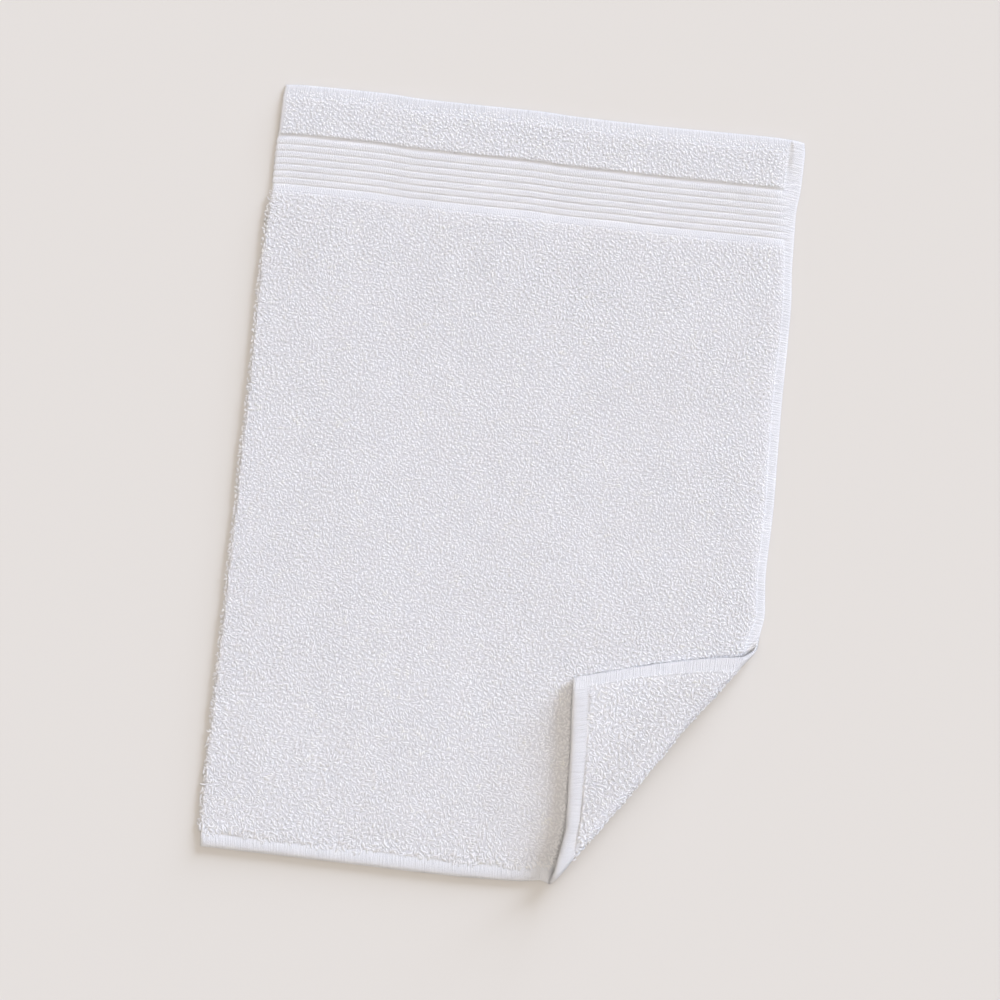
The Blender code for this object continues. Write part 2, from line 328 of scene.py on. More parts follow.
@dataclass(frozen=True)
class Lay:
    """How the cloth lies: flat, with one corner drawn together and rolled over.

    Attributes:
        cloth: The flat cloth.
        angle: Direction of the fold's line, turned from X.
        reach: Distance from the origin to the fold's outside.
        radius: Radius of the roll, at the cloth's middle.
        dip: How much further than straight back the roll turns, so that the flap comes down.
        landing: Radius of the bend in which the flap comes to lie level again.
        layer_gap: Gap between the flap and the face that it lies on.
        tip: Plan position of the folded corner.
        slides: Slide along the fold in mm, by share of the corner's depth past the fold.
        fold_in: How far the fold's outside is pulled in, by place along the fold.
        spread: How far the plain end's hem swings out beside the fold.
        spread_fade: Run over which that fades, away from the hem.
        spread_start: Run over which it comes in, past the fold's start.
        pinch: How far the hem is pinched together where it goes round the fold.
        pinch_reach: Length of the hem over which it is.
    """

    cloth: Cloth
    angle: float = math.radians(54.7)
    reach: float = 281 * MM
    radius: float = 7.5 * MM
    dip: float = math.radians(12)
    landing: float = 60 * MM
    layer_gap: float = 2.6 * MM
    tip: tuple[float, float] = (82.6 * MM, -168 * MM)
    slides: tuple[tuple[float, float], ...] = (
        (0.0, 0.0), (0.10, 4.0), (0.30, 22.0), (0.60, 43.0), (1.0, 64.0))
    fold_in: Curve = Curve(((-150, 0.0), (-93, 1.8), (-64, 2.6), (-5, 2.0), (40, 0.5)))
    spread: float = 6 * MM
    spread_fade: float = 80 * MM
    spread_start: float = 45 * MM
    pinch: float = 9 * MM
    pinch_reach: float = 44 * MM

    @property
    def run(self) -> tuple[float, float]:
        """Direction of the fold's line."""
        return math.cos(self.angle), math.sin(self.angle)

    @property
    def out(self) -> tuple[float, float]:
        """Direction square to the fold's line, away from the towel's middle."""
        return math.sin(self.angle), -math.cos(self.angle)

    @property
    def start(self) -> float:
        """Distance from the origin to the line where the cloth leaves the floor."""
        return self.reach - self.radius - self.cloth.terry / 2

    @property
    def bends(self) -> tuple[tuple[float, float], ...]:
        """Length and turn of each stretch of the cloth past that line.

        Returns:
            The roll, the way down, the bend back to level, and the level flap.
        """
        fall = (self.radius * (1.0 + math.cos(self.dip)) - self.cloth.terry
                - self.layer_gap - self.landing * (1.0 - math.cos(self.dip)))
        return (
            (self.radius * (math.pi + self.dip), math.pi + self.dip),
            (fall / math.sin(self.dip), 0.0),
            (self.landing * self.dip, -self.dip),
            (self.cloth.length, 0.0),
        )

    @property
    def depth(self) -> float:
        """How far the flat cloth's corner lies past the fold's start."""
        x, y = self.cloth.sway(np.array(self.cloth.width / 2), np.array(-self.cloth.length / 2))
        return float(x * self.out[0] + y * self.out[1]) - self.start

    @property
    def drawn(self) -> float:
        """Share of its length that the corner keeps across the fold.

        Returns:
            The share with which the folded corner comes to its place.
        """
        bent = sum(length for length, _ in self.bends[:3])
        level = self.profile(np.array([bent]))[0][0] + self.start
        tip = self.tip[0] * self.out[0] + self.tip[1] * self.out[1]
        return (bent + level - tip) / self.depth

    def profile(self, arc: Array) -> tuple[Array, Array, Array]:
        """Follow the cloth's middle over the fold, as seen along the fold's line.

        Args:
            arc: Arcs past the fold's start, none below nought.

        Returns:
            Reach outwards from the start, height over the flat cloth's middle, and heading.
        """
        reach, height, heading = (np.zeros_like(arc) for _ in range(3))
        for length, turn in self.bends:
            step = np.clip(arc, 0.0, length)
            angle = turn * step / length
            if turn:
                radius = length / turn
                reach = reach + radius * (np.sin(heading + angle) - np.sin(heading))
                height = height + radius * (np.cos(heading) - np.cos(heading + angle))
            else:
                reach = reach + step * np.cos(heading)
                height = height + step * np.sin(heading)
            heading = heading + angle
            arc = arc - step
        return reach, height, heading

    def split(self, x: Array, y: Array) -> tuple[Array, Array]:
        """Turn plan positions into distances along the fold and past its start."""
        return (x * self.run[0] + y * self.run[1],
                x * self.out[0] + y * self.out[1] - self.start)

    def join(self, slid: Array, past: Array) -> tuple[Array, Array]:
        """Turn distances along the fold and past its start into plan positions."""
        return (slid * self.run[0] + (past + self.start) * self.out[0],
                slid * self.run[1] + (past + self.start) * self.out[1])

    def plan(self, across: Array, along: Array) -> tuple[Array, Array]:
        """Plan of the cloth before it is rolled, with its corner drawn together.

        Args:
            across: Places across the flat cloth, from its middle.
            along: Places along it, towards the border end.

        Returns:
            Distance along the fold, and arc of the cloth's middle past the fold's start.
        """
        x, y = self.cloth.sway(across, along)
        _, past = self.split(x, y)
        from_hem = along + self.cloth.length / 2
        beyond = np.maximum(from_hem - self.cloth.bottom_hem, 0.0)
        share = np.maximum(np.minimum(from_hem / self.cloth.bottom_hem, 1.0)
                           - beyond / self.spread_fade, 0.0)
        lift = self.spread * share * ease(past / self.spread_start)
        slid, drawn = self.split(x, y + lift)
        rows = tuple((depth / MM, slide) for depth, slide in self.slides)
        slide = Curve(rows).at(drawn / self.depth)
        share = np.clip(1.0 - from_hem / self.cloth.bottom_hem, 0.0, 1.0)
        slide = slide - self.pinch * share * self.cloth.crown(past / self.pinch_reach)
        folded = past > 0.0
        return (np.where(folded, slid + slide, slid),
                np.where(folded, drawn * self.drawn, past))

    def roll(self, slid: Array, arc: Array, offset: Array) -> Array:
        """Place points of the drawn cloth in space.

        Args:
            slid: Distances along the fold.
            arc: Arcs of the cloth's middle past the fold's start.
            offset: Heights above the cloth's middle, on its upper face's side.

        Returns:
            One row of coordinates for each point.
        """
        reach, rise, heading = self.profile(np.maximum(arc, 0.0))
        past = np.where(arc > 0.0, reach - offset * np.sin(heading), arc)
        past = past - self.fold_in.at(slid) * np.clip(past / self.radius, 0.0, 1.0)
        x, y = self.join(slid, past)
        z = self.cloth.terry / 2 + rise + offset * np.cos(heading)
        return np.stack([x, y, z], axis=-1)

    def turned(self, arc: Array) -> Array:
        """How far the cloth has gone round the fold, as a share of the whole roll."""
        return np.clip(arc / self.bends[0][0], 0.0, 1.0)

    def offset(self, face: Face, thickness: Array, arc: Array) -> Array:
        """Height above the cloth's middle of one of its faces.

        Args:
            face: The face.
            thickness: Thickness of the cloth at each place.
            arc: Arcs of the cloth's middle past the fold's start.

        Returns:
            The height, below nought where the face lies under the middle.
        """
        low, high = self.cloth.terry / 2, thickness - self.cloth.terry / 2
        if face is Face.UPPER:
            return blend(high, low, self.turned(arc))
        return -blend(low, high, self.turned(arc))


class Parking:
    """A plan on which strands are set down one by one, none too close to another."""

    CELL = 0.4 * MM
    MARGIN = 12 * MM

    def __init__(self, low: Array, high: Array) -> None:
        """Clear the plan.

        Args:
            low: Lowest plan position of all the strands.
            high: Highest plan position of all the strands.
        """
        self.low = low - self.MARGIN
        self.shape = np.ceil((high - low + 2 * self.MARGIN) / self.CELL).astype(int)
        self.taken = np.zeros(int(self.shape.prod()), dtype=bool)

    def park(self, lines: Array, spacing: float) -> Array:
        """Set strands down in their order.

        Args:
            lines: Points along each strand's middle, as rows of plan positions.
            spacing: Least distance kept between two strands' middles.

        Returns:
            Numbers of the strands that found room.
        """
        reach = int(spacing / self.CELL)
        side = np.arange(-reach, reach + 1)
        over, down = np.meshgrid(side, side, indexing="ij")
        inside = over ** 2 + down ** 2 <= (spacing / self.CELL) ** 2
        disc = over[inside] * int(self.shape[1]) + down[inside]
        cells = ((lines - self.low) / self.CELL).astype(int)
        cells = cells[..., 0] * int(self.shape[1]) + cells[..., 1]
        taken, found = self.taken, []
        for number, strand in enumerate(cells):
            if not taken[strand].any():
                taken[(strand[:, None] + disc).ravel()] = True
                found.append(number)
        return np.array(found, dtype=int)


class Flow:
    """A smooth random field of directions, in which neighbouring loops lie alike."""

    SIZE = 96

    def __init__(self, cell: float, seed: int) -> None:
        """Draw a lattice of directions.

        Args:
            cell: Distance between two directions.
            seed: Seed of the draw.
        """
        self.cell = cell
        turns = np.random.default_rng(seed).uniform(0.0, 2.0 * math.pi, (self.SIZE, self.SIZE))
        self.lattice = np.stack([np.cos(turns), np.sin(turns)], axis=-1)

    def at(self, plan: Array) -> Array:
        """Read the field.

        Args:
            plan: Plan positions.

        Returns:
            The doubled direction at each, as rows of cosine and sine.
        """
        place = plan / self.cell + self.SIZE / 2
        corner = np.floor(place).astype(int)
        share = ease(place - corner)
        column, row = corner[..., 0] % (self.SIZE - 1), corner[..., 1] % (self.SIZE - 1)
        over, down = share[..., :1], share[..., 1:]
        near = self.lattice[column, row] * (1 - over) + self.lattice[column + 1, row] * over
        far = (self.lattice[column, row + 1] * (1 - over)
               + self.lattice[column + 1, row + 1] * over)
        return near * (1 - down) + far * down


@dataclass(frozen=True)
class Course:
    """One course of loops: how long, thick and deep its strands lie.

    Attributes:
        length: Shortest and longest strand.
        radius: Half of a strand's thickness.
        spacing: Least distance between two strands' middles.
        sink: Depth of the crests under the top of the pile.
        tries: Strands tried for each square metre.
        curl: Least and most that a strand turns along its length.
        bands: Bands of its form.
        shared: Whether the course fills gaps in the one before it.
        least_full: Least share of the pile's height at which it is there.
        ragged: How far single strands stand out over the others.
    """

    length: tuple[float, float]
    radius: float
    spacing: float
    sink: float
    tries: int
    curl: tuple[float, float] = (0.3, 3.0)
    bands: int = 5
    shared: bool = False
    least_full: float = 0.0
    ragged: float = 0.0


@dataclass(frozen=True)
class Strands:
    """Loops that have been set down, one row each."""

    across: Array
    along: Array
    heading: Array
    length: Array
    bend: Array
    radius: Array
    sink: Array
    tilt: Array

    def pick(self, chosen: Array) -> "Strands":
        """Keep the chosen rows."""
        return Strands(*(getattr(self, name)[chosen] for name in self.__dataclass_fields__))


class LoopForm:
    """A form that loops are copied from: a short strand, closed, with a flat side up."""

    SIDES = 3
    FULLNESS = 0.6

    def __init__(self, bands: int) -> None:
        """Model the strand as a small ball along X and read its points and triangles.

        Args:
            bands: Number of bands along the strand, its two tips included.
        """
        bpy.ops.object.select_all(action="DESELECT")
        bpy.ops.mesh.primitive_uv_sphere_add(
            segments=self.SIDES, ring_count=bands, radius=1.0,
            rotation=(0.0, math.pi / 2, 0.0))
        ball = bpy.context.object
        bpy.ops.object.transform_apply(location=False, rotation=True, scale=False)
        with edit_mode():
            bpy.ops.mesh.quads_convert_to_tris()
        mesh = ball.data
        points = read_points(mesh)
        self.faces = np.array([list(face.vertices) for face in mesh.polygons])
        bpy.data.objects.remove(ball)
        bpy.data.meshes.remove(mesh)
        widest = points[np.abs(points[:, 0]).argmin()]
        turn = -math.pi / 2 - math.atan2(widest[2], widest[1])
        cosine, sine = math.cos(turn), math.sin(turn)
        points = np.stack([points[:, 0], points[:, 1] * cosine - points[:, 2] * sine,
                           points[:, 1] * sine + points[:, 2] * cosine], axis=-1)
        distance = np.hypot(points[:, 1], points[:, 2])
        full = np.where(distance > 1e-4, distance, 1.0) ** (self.FULLNESS - 1.0)
        self.share = points[:, 0] / 2
        self.side = points[:, 1] * full
        self.rise = points[:, 2] * full


@dataclass(frozen=True)
class Pile:
    """A zone of loops that stand on one face of the cloth.

    Attributes:
        name: Name of the zone.
        face: The face that the loops stand on.
        across: Lowest and highest place across the cloth.
        along: Lowest and highest place along it.
        courses: The courses of loops, from the crests down.
        seed: Seed of its random draws.
        pieces: Number of pieces that it is split into, along the cloth.
        tone: How much brighter than the field its loops are.
    """

    name: str
    face: Face
    across: tuple[float, float]
    along: tuple[float, float]
    courses: tuple[Course, ...]
    seed: int
    pieces: int = 1
    tone: float = 0.0


class PileMaker:
    """Sets down the loops of a pile and turns them into meshes.

    Attributes:
        SAMPLES: Points along a strand at which its room is looked at.
        ARCH: How far a strand's ends sink, as a share of its length.
        EDGE_COMB, HEM_COMB, GROOVE_COMB, TOP_COMB, ROLL_COMB: How strongly loops are combed
            out over the left edge, the plain end's hem, the groove, the top hem and the
            fold, and how far from it.
        BROAD_SHARE: Share of the broad flow in the loops' headings.
        JITTER: Spread of single loops' headings.
        HIDDEN: Depth under the folded corner at which the loops end.
        UPPER_END, LOWER_START: Arcs at which the face's loops end and the underside's start.
        UPPER_HEM, LOWER_HEM: How unevenly the field's loops end at the plain end's hem, and
            how far before it.
        HEADER_TOP, FIELD_TOP: Where the loops of the header and the field start, and how
            unevenly.
        HEADER_SIDE, FIELD_SIDE: How far in from the left edge they start.
        GROOVE_GAP: How far before the groove the header's loops end.
        SIDE_UNEVEN, SELVEDGE_UNEVEN: How unevenly loops start at the left and the right.
        SIDE_RISE, TOP_RISE, GROOVE_RISE, BORDER_RISE, HEM_RISE: Offset and run of the
            pile's rise beside each bare part.
        BARE: Share of its height that the pile has at its lowest.
        COARSE: Where loops grow longer towards the plain end, over what run, and by how much.
        LEAST_SIZE: Share of its drawn length that a loop has before that.
        FAN: Share of half the terry by which the underside's plan is spread round the fold.
        FLAP_REACH, FLAP_POINTS, FAN_POINTS: How far the folded corner is looked at, and how
            finely its outline and the fan are.
        UPWARD: How far the soft relief of a face is turned upwards.
        LIT: Painted brightness of an ordinary loop's back, below the painted light on the fold.
        CONTACT: Distance from the folded corner within which loops are painted lighter, as
            painted light.
    """

    SAMPLES = 7
    ARCH = 0.11
    EDGE_COMB = (0.7, 6 * MM)
    HEM_COMB = (0.8, 7 * MM)
    GROOVE_COMB = (0.8, 4 * MM)
    TOP_COMB = (0.8, 8 * MM)
    ROLL_COMB = (0.5, 30 * MM)
    BROAD_SHARE = 0.35
    JITTER = 0.8
    HIDDEN = 9 * MM
    UPPER_END = 1.5 * MM
    LOWER_START = 2 * MM
    UPPER_HEM = (4.6 * MM, 0.0)
    LOWER_HEM = (1.2 * MM, 2.2 * MM)
    HEADER_TOP = (6.5 * MM, 2.5 * MM)
    FIELD_TOP = (0.5 * MM, 0.8 * MM)
    HEADER_SIDE = 4.5 * MM
    FIELD_SIDE = -2.0 * MM
    GROOVE_GAP = 0.6 * MM
    SIDE_UNEVEN = 0.9 * MM
    SELVEDGE_UNEVEN = 3 * MM
    SIDE_RISE = (3 * MM, 9 * MM)
    TOP_RISE = (3 * MM, 14 * MM)
    GROOVE_RISE = (2.2 * MM, 2.6 * MM)
    BORDER_RISE = (1 * MM, 5 * MM)
    HEM_RISE = (11 * MM, 8 * MM)
    BARE = 0.2
    COARSE = (380 * MM, 300 * MM, 0.34)
    LEAST_SIZE = 0.94
    FAN = 0.8
    FAN_POINTS = 2001
    FLAP_REACH = 0.4
    FLAP_POINTS = 60
    UPWARD = {Face.UPPER: 0.8, Face.LOWER: 8.0}
    LIT = 0.74
    CONTACT = 7 * MM

    def __init__(self, lay: Lay) -> None:
        """Draw the flow of the loops.

        Args:
            lay: The lay of the cloth.
        """
        self.lay = lay
        self.cloth = lay.cloth
        self.flow = Flow(9 * MM, SEED)
        self.broad_flow = Flow(26 * MM, SEED + 1)
        self.flap = self.flap_outline()
        self.forms: dict[int, LoopForm] = {}

    def form(self, bands: int) -> LoopForm:
        """Give the strand's form, made once for each number of bands.

        Args:
            bands: Number of bands along the strand.

        Returns:
            The form.
        """
        if bands not in self.forms:
            self.forms[bands] = LoopForm(bands)
        return self.forms[bands]

    def flap_outline(self) -> Array:
        """Follow the folded corner's outline.

        Returns:
            Rows of plan positions, down the selvedge and back along the hem.
        """
        cloth, count = self.cloth, self.FLAP_POINTS
        down = np.linspace(0.0, self.FLAP_REACH, count)
        right = np.stack([np.full(count, cloth.width / 2), -cloth.length / 2 + down[::-1]])
        bottom = np.stack([cloth.width / 2 - down, np.full(count, -cloth.length / 2)])
        across, along = np.concatenate([right, bottom[:, 1:]], axis=1)
        slid, arc = self.lay.plan(across, along)
        kept = arc > self.lay.bends[0][0] / 2
        points = self.lay.roll(slid[kept], arc[kept], np.zeros(kept.sum()))
        return points[:, :2]

    def under_flap(self, plan: Array) -> Array:
        """Measure how far plan positions lie inside the folded corner's outline.

        Args:
            plan: Plan positions.

        Returns:
            Their distances from the outline, negative outside.
        """
        start, end = self.flap, np.roll(self.flap, -1, axis=0)
        edge = end - start
        gap = plan[:, None, :] - start
        share = np.clip((gap * edge).sum(-1) / (edge * edge).sum(-1), 0.0, 1.0)
        depth = np.linalg.norm(gap - share[..., None] * edge, axis=-1).min(axis=1)
        beside = (start[:, 1] > plan[:, 1:]) != (end[:, 1] > plan[:, 1:])
        rise = np.where(np.abs(edge[:, 1]) < 1e-9, 1e-9, edge[:, 1])
        crossing = start[:, 0] + edge[:, 0] * (plan[:, 1:] - start[:, 1]) / rise
        inside = (beside & (plan[:, :1] < crossing)).sum(axis=1) % 2 == 1
        return np.where(inside, depth, -depth)

    def grows(self, across: Array, along: Array, face: Face,
              draw: np.random.Generator) -> Array:
        """Tell which places carry loops; they end unevenly at the hems and the selvedge.

        Args:
            across: Places across the flat cloth.
            along: Places along it.
            face: The face.
            draw: Source of random numbers.

        Returns:
            Whether each place does.
        """
        cloth = self.cloth
        place = cloth.length / 2 - along
        patches = self.flow.at(np.stack([across, along], axis=-1))[:, 0]
        uneven = 0.6 * patches + 0.4 * draw.uniform(-1.0, 1.0, len(across))
        over, set_back = self.UPPER_HEM if face is Face.UPPER else self.LOWER_HEM
        header = ((place > self.HEADER_TOP[0] + self.HEADER_TOP[1] * uneven)
                  & (place < cloth.header_end - self.GROOVE_GAP))
        field = ((place > cloth.field_start + self.FIELD_TOP[0] + self.FIELD_TOP[1] * uneven)
                 & (place < cloth.field_end - set_back + over * uneven))
        beside = cloth.width / 2 - across - cloth.selvedge_width.at(along)
        left = across + cloth.width / 2
        inside = np.where(header, self.HEADER_SIDE, self.FIELD_SIDE) + self.SIDE_UNEVEN * uneven
        return (header | field) & (beside > self.SELVEDGE_UNEVEN * uneven) & (left > inside)

    def fullness(self, across: Array, along: Array) -> Array:
        """Tell how high the pile stands; it is lower beside the bare parts.

        Args:
            across: Places across the flat cloth.
            along: Places along it.

        Returns:
            The share of its full height that it has at each place.
        """
        cloth = self.cloth
        place = cloth.length / 2 - along
        beside = cloth.width / 2 - across - cloth.selvedge_width.at(along)
        side = ease((beside + self.SIDE_RISE[0]) / self.SIDE_RISE[1])
        top = ease((place - self.TOP_RISE[0]) / self.TOP_RISE[1])
        groove = ease((cloth.header_end + self.GROOVE_RISE[0] - place) / self.GROOVE_RISE[1])
        border = ease((place - cloth.field_start + self.BORDER_RISE[0]) / self.BORDER_RISE[1])
        low = ease((cloth.field_end + self.HEM_RISE[0] - place) / self.HEM_RISE[1])
        ends = np.where(place < cloth.ribs_start, np.minimum(top, groove),
                        np.minimum(border, low))
        return self.BARE + (1.0 - self.BARE) * np.minimum(side, ends)

    def crest(self, across: Array, along: Array) -> Array:
        """Height of the loops' crests above the cloth's other face."""
        ground = self.cloth.thickness(across, along, self.cloth.pile_depth)
        return ground + self.cloth.pile_depth * self.fullness(across, along)

    def surface_plan(self, slid: Array, arc: Array, face: Face) -> Array:
        """Draw out the plan of a face's pile, spread round the outside of the fold.

        Args:
            slid: Distances along the fold.
            arc: Arcs of the cloth's middle past the fold's start.
            face: The face.

        Returns:
            Rows of plan positions.
        """
        if face is Face.LOWER:
            _, _, heading = self.lay.profile(np.maximum(arc, 0.0))
            arc = arc + self.cloth.terry / 2 * self.FAN * heading
        return np.stack(self.lay.join(slid, arc), axis=-1)

    def cloth_plan(self, plan: Array, face: Face) -> tuple[Array, Array]:
        """Turn the plan of a face's pile back into places on the drawn cloth.

        Args:
            plan: Rows of plan positions.
            face: The face.

        Returns:
            Distances along the fold, and arcs of the cloth's middle past the fold's start.
        """
        slid, past = self.lay.split(plan[..., 0], plan[..., 1])
        if face is Face.LOWER:
            arcs = np.linspace(0.0, self.FLAP_REACH, self.FAN_POINTS)
            _, _, heading = self.lay.profile(arcs)
            spread = arcs + self.cloth.terry / 2 * self.FAN * heading
            past = np.where(past > 0.0, np.interp(past, spread, arcs), past)
        return slid, past

    def comb(self, across: Array, along: Array, plan: Array, face: Face,
             draw: np.random.Generator) -> Array:
        """Headings of loops: with the flow, and combed out over edges and the fold.

        Args:
            across: Places across the flat cloth.
            along: Places along it.
            plan: Plan positions on the face.
            face: The face.
            draw: Source of random numbers.

        Returns:
            One heading for each loop.
        """
        doubled = self.flow.at(plan) + self.BROAD_SHARE * self.broad_flow.at(plan)
        doubled /= np.maximum(np.linalg.norm(doubled, axis=-1, keepdims=True), 1e-6)
        cloth = self.cloth
        place = cloth.length / 2 - along
        _, past = self.lay.split(plan[:, 0], plan[:, 1])
        square = math.pi / 2
        out = math.atan2(self.lay.out[1], self.lay.out[0])
        combs = ((self.EDGE_COMB, across + cloth.width / 2, True, square),
                 (self.HEM_COMB, cloth.field_end - place, True, -square),
                 (self.GROOVE_COMB, cloth.header_end - place, place < cloth.header_end, -square),
                 (self.TOP_COMB, place - cloth.top_hem, True, -square),
                 (self.ROLL_COMB, past, face is Face.LOWER, out))
        for (strength, reach), distance, here, angle in combs:
            weight = strength * ease(1.0 - distance / reach) * here
            target = np.array([math.cos(2 * angle), math.sin(2 * angle)])
            doubled = doubled * (1 - weight[:, None]) + target * weight[:, None]
        heading = np.arctan2(doubled[:, 1], doubled[:, 0]) / 2
        return heading + draw.normal(0.0, self.JITTER, len(heading))

    def lines(self, strands: Strands, plan: Array, shares: Array) -> Array:
        """Points along the middle of each strand, which lies in an arc of its face's plan.

        Args:
            strands: The strands.
            plan: Plan positions of their middles.
            shares: Shares of a strand's length, from -0.5 to 0.5.

        Returns:
            A row of plan positions for each strand.
        """
        bend = strands.bend[:, None]
        radius = strands.length[:, None] / bend
        heading = strands.heading[:, None]
        along = radius * (np.sin(heading + bend * shares) - np.sin(heading))
        aside = radius * (np.cos(heading) - np.cos(heading + bend * shares))
        inward = radius * (1.0 - np.cos(bend / 2)) / 3
        return plan[:, None, :] + np.stack([along + inward * np.sin(heading),
                                            aside - inward * np.cos(heading)], axis=-1)

    def draw_course(self, pile: Pile, course: Course,
                    draw: np.random.Generator) -> tuple[Strands, Array]:
        """Draw the strands of a course at random, before any is set down.

        Where the pile is low they are shorter, straighter and thinner.

        Args:
            pile: The pile.
            course: The course.
            draw: Source of random numbers.

        Returns:
            The strands in the order in which they are set down, and the plan positions of
            their middles.
        """
        cloth = self.cloth
        area = (pile.across[1] - pile.across[0]) * (pile.along[1] - pile.along[0])
        count = int(course.tries * area)
        across = draw.uniform(*pile.across, count)
        along = draw.uniform(*pile.along, count)
        slid, arc = self.lay.plan(across, along)
        if pile.face is Face.LOWER:
            kept = arc > self.LOWER_START
        else:
            at = np.stack(self.lay.join(slid, arc), axis=-1)
            kept = (arc < self.UPPER_END) & (self.under_flap(at) < self.HIDDEN)
        kept &= self.grows(across, along, pile.face, draw)
        across, along, slid, arc = across[kept], along[kept], slid[kept], arc[kept]
        plan = self.surface_plan(slid, arc, pile.face)
        heading = self.comb(across, along, plan, pile.face, draw)
        count = len(across)
        full = self.fullness(across, along)
        low = ease((cloth.length / 2 - along - self.COARSE[0]) / self.COARSE[1])
        size = self.LEAST_SIZE + self.COARSE[2] * low
        length = draw.uniform(*course.length, count) * (0.7 + 0.3 * full) * size
        least, most = course.curl
        bend = (least + (most - least) * draw.uniform(0.0, 1.0, count) ** 2
                ) * draw.choice([-1.0, 1.0], count) * (0.3 + 0.7 * full)
        strands = Strands(
            across, along, heading, length, bend,
            course.radius * draw.uniform(0.9, 1.12, count) * (0.85 + 0.15 * full),
            (course.sink + draw.uniform(-0.15 * MM, 0.25 * MM, count) * full
             - course.ragged * draw.uniform(0.0, 1.0, count) ** 2),
            draw.normal(0.0, 0.35 * MM, count) * full)
        order = np.argsort(-length, kind="stable") if course.shared else np.arange(count)
        order = order[full[order] > course.least_full]
        return strands.pick(order), plan[order]

    def set_down(self, pile: Pile) -> list[tuple[LoopForm, Strands, Array]]:
        """Set down all the courses of a pile.

        Args:
            pile: The pile.

        Returns:
            For each course its form, its strands and the plan positions of their middles.
        """
        draw = np.random.default_rng(pile.seed)
        shares = np.linspace(-0.44, 0.44, self.SAMPLES)
        parking, lots = None, []
        for course in pile.courses:
            strands, plan = self.draw_course(pile, course, draw)
            lines = self.lines(strands, plan, shares)
            if parking is None or not course.shared:
                parking = Parking(lines.min(axis=(0, 1)), lines.max(axis=(0, 1)))
            found = parking.park(lines, course.spacing)
            LOG.info("%s: %d loops of %.1f mm or less", pile.name, len(found),
                     course.length[1] / MM)
            lots.append((self.form(course.bands), strands.pick(found), plan[found]))
        return lots

    def loops(self, pile: Pile, form: LoopForm, strands: Strands,
              plan: Array) -> tuple[Array, Array]:
        """Place a lot of loops in space.

        Args:
            pile: The pile.
            form: Their form.
            strands: The strands.
            plan: Plan positions of their middles.

        Returns:
            For each loop its points, and the cloth's direction outwards at each of them.
        """
        sign = pile.face.value
        middle = self.lines(strands, plan, form.share)
        heading = strands.heading[:, None] + strands.bend[:, None] * form.share
        radius = strands.radius[:, None]
        side = sign * form.side * radius
        points = middle + np.stack([-np.sin(heading) * side, np.cos(heading) * side], axis=-1)
        slid, arc = self.cloth_plan(points, pile.face)
        shift = middle - plan[:, None, :]
        across = strands.across[:, None] + shift[..., 0]
        along = strands.along[:, None] + shift[..., 1]
        top = self.lay.offset(pile.face, self.crest(across, along), arc)
        dip = strands.length[:, None] * self.ARCH * (2 * form.share) ** 2
        depth = radius + dip + strands.sink[:, None] + strands.tilt[:, None] * form.share * 2
        level = top - sign * depth
        if pile.face is Face.UPPER:
            level = np.maximum(level, radius - self.cloth.terry / 2)
        placed = self.lay.roll(slid, arc, level + sign * form.rise * radius)
        away = self.lay.roll(slid, arc, level + sign * form.rise * radius + sign * MM)
        outward = (away - placed) / MM
        outward[..., 2] = np.maximum(outward[..., 2], 0.0) + self.UPWARD[pile.face]
        return placed, outward / np.linalg.norm(outward, axis=-1, keepdims=True)

    def shade(self, pile: Pile, form: LoopForm, strands: Strands, plan: Array, away: Array,
              draw: np.random.Generator) -> Array:
        """Painted brightness of loops from 0 to 1: painted light on their bends, painted shade
        on their ends and on the deeper strands, with a random tone on top.

        The painted shade is stronger towards the plain end and the left. On the steep side
        of the fold, and beside the folded corner, the loops are painted lighter, as painted
        light against the shade there.

        Args:
            pile: The pile.
            form: Their form.
            strands: The strands.
            plan: Plan positions of their middles.
            away: The cloth's direction outwards at each of their points.
            draw: Source of random numbers.

        Returns:
            One row for each loop, with a value for each of its points.
        """
        low = ease((self.cloth.length / 2 - strands.along - self.COARSE[0]) / self.COARSE[1])
        # Painted shade is stronger towards the plain end and weaker towards the right.
        painted_shade_strength = (0.85 + 0.3 * low - 0.35 * strands.across / self.cloth.width)[:, None]
        chance = draw.uniform(-1.0, 1.0, len(strands.sink))[:, None]
        # Deeper strands and the ends of each strand are painted darker: painted shade.
        deep = np.clip(strands.sink / (0.6 * MM), 0.0, 1.0)[:, None]
        ends = np.abs(2 * form.share) ** 3
        shade = 1.15 + painted_shade_strength * (0.25 * chance - 0.6 * ends - 0.3 * deep)
        shade = self.LIT * (np.clip(shade, 0.0, 1.0) + pile.tone)
        # Painted light: loops on the steep side of the fold and beside the folded corner are
        # painted lighter.
        if pile.face is Face.LOWER:
            painted_light = ease(self.UPWARD[pile.face] * np.hypot(away[..., 0], away[..., 1]))
        else:
            painted_light = ease(1.0 + self.under_flap(plan) / self.CONTACT)[:, None]
        shade = shade * (1.0 - painted_light) + (1.0 + 0.15 * chance) * painted_light
        return np.clip(shade, 0.0, 1.0)

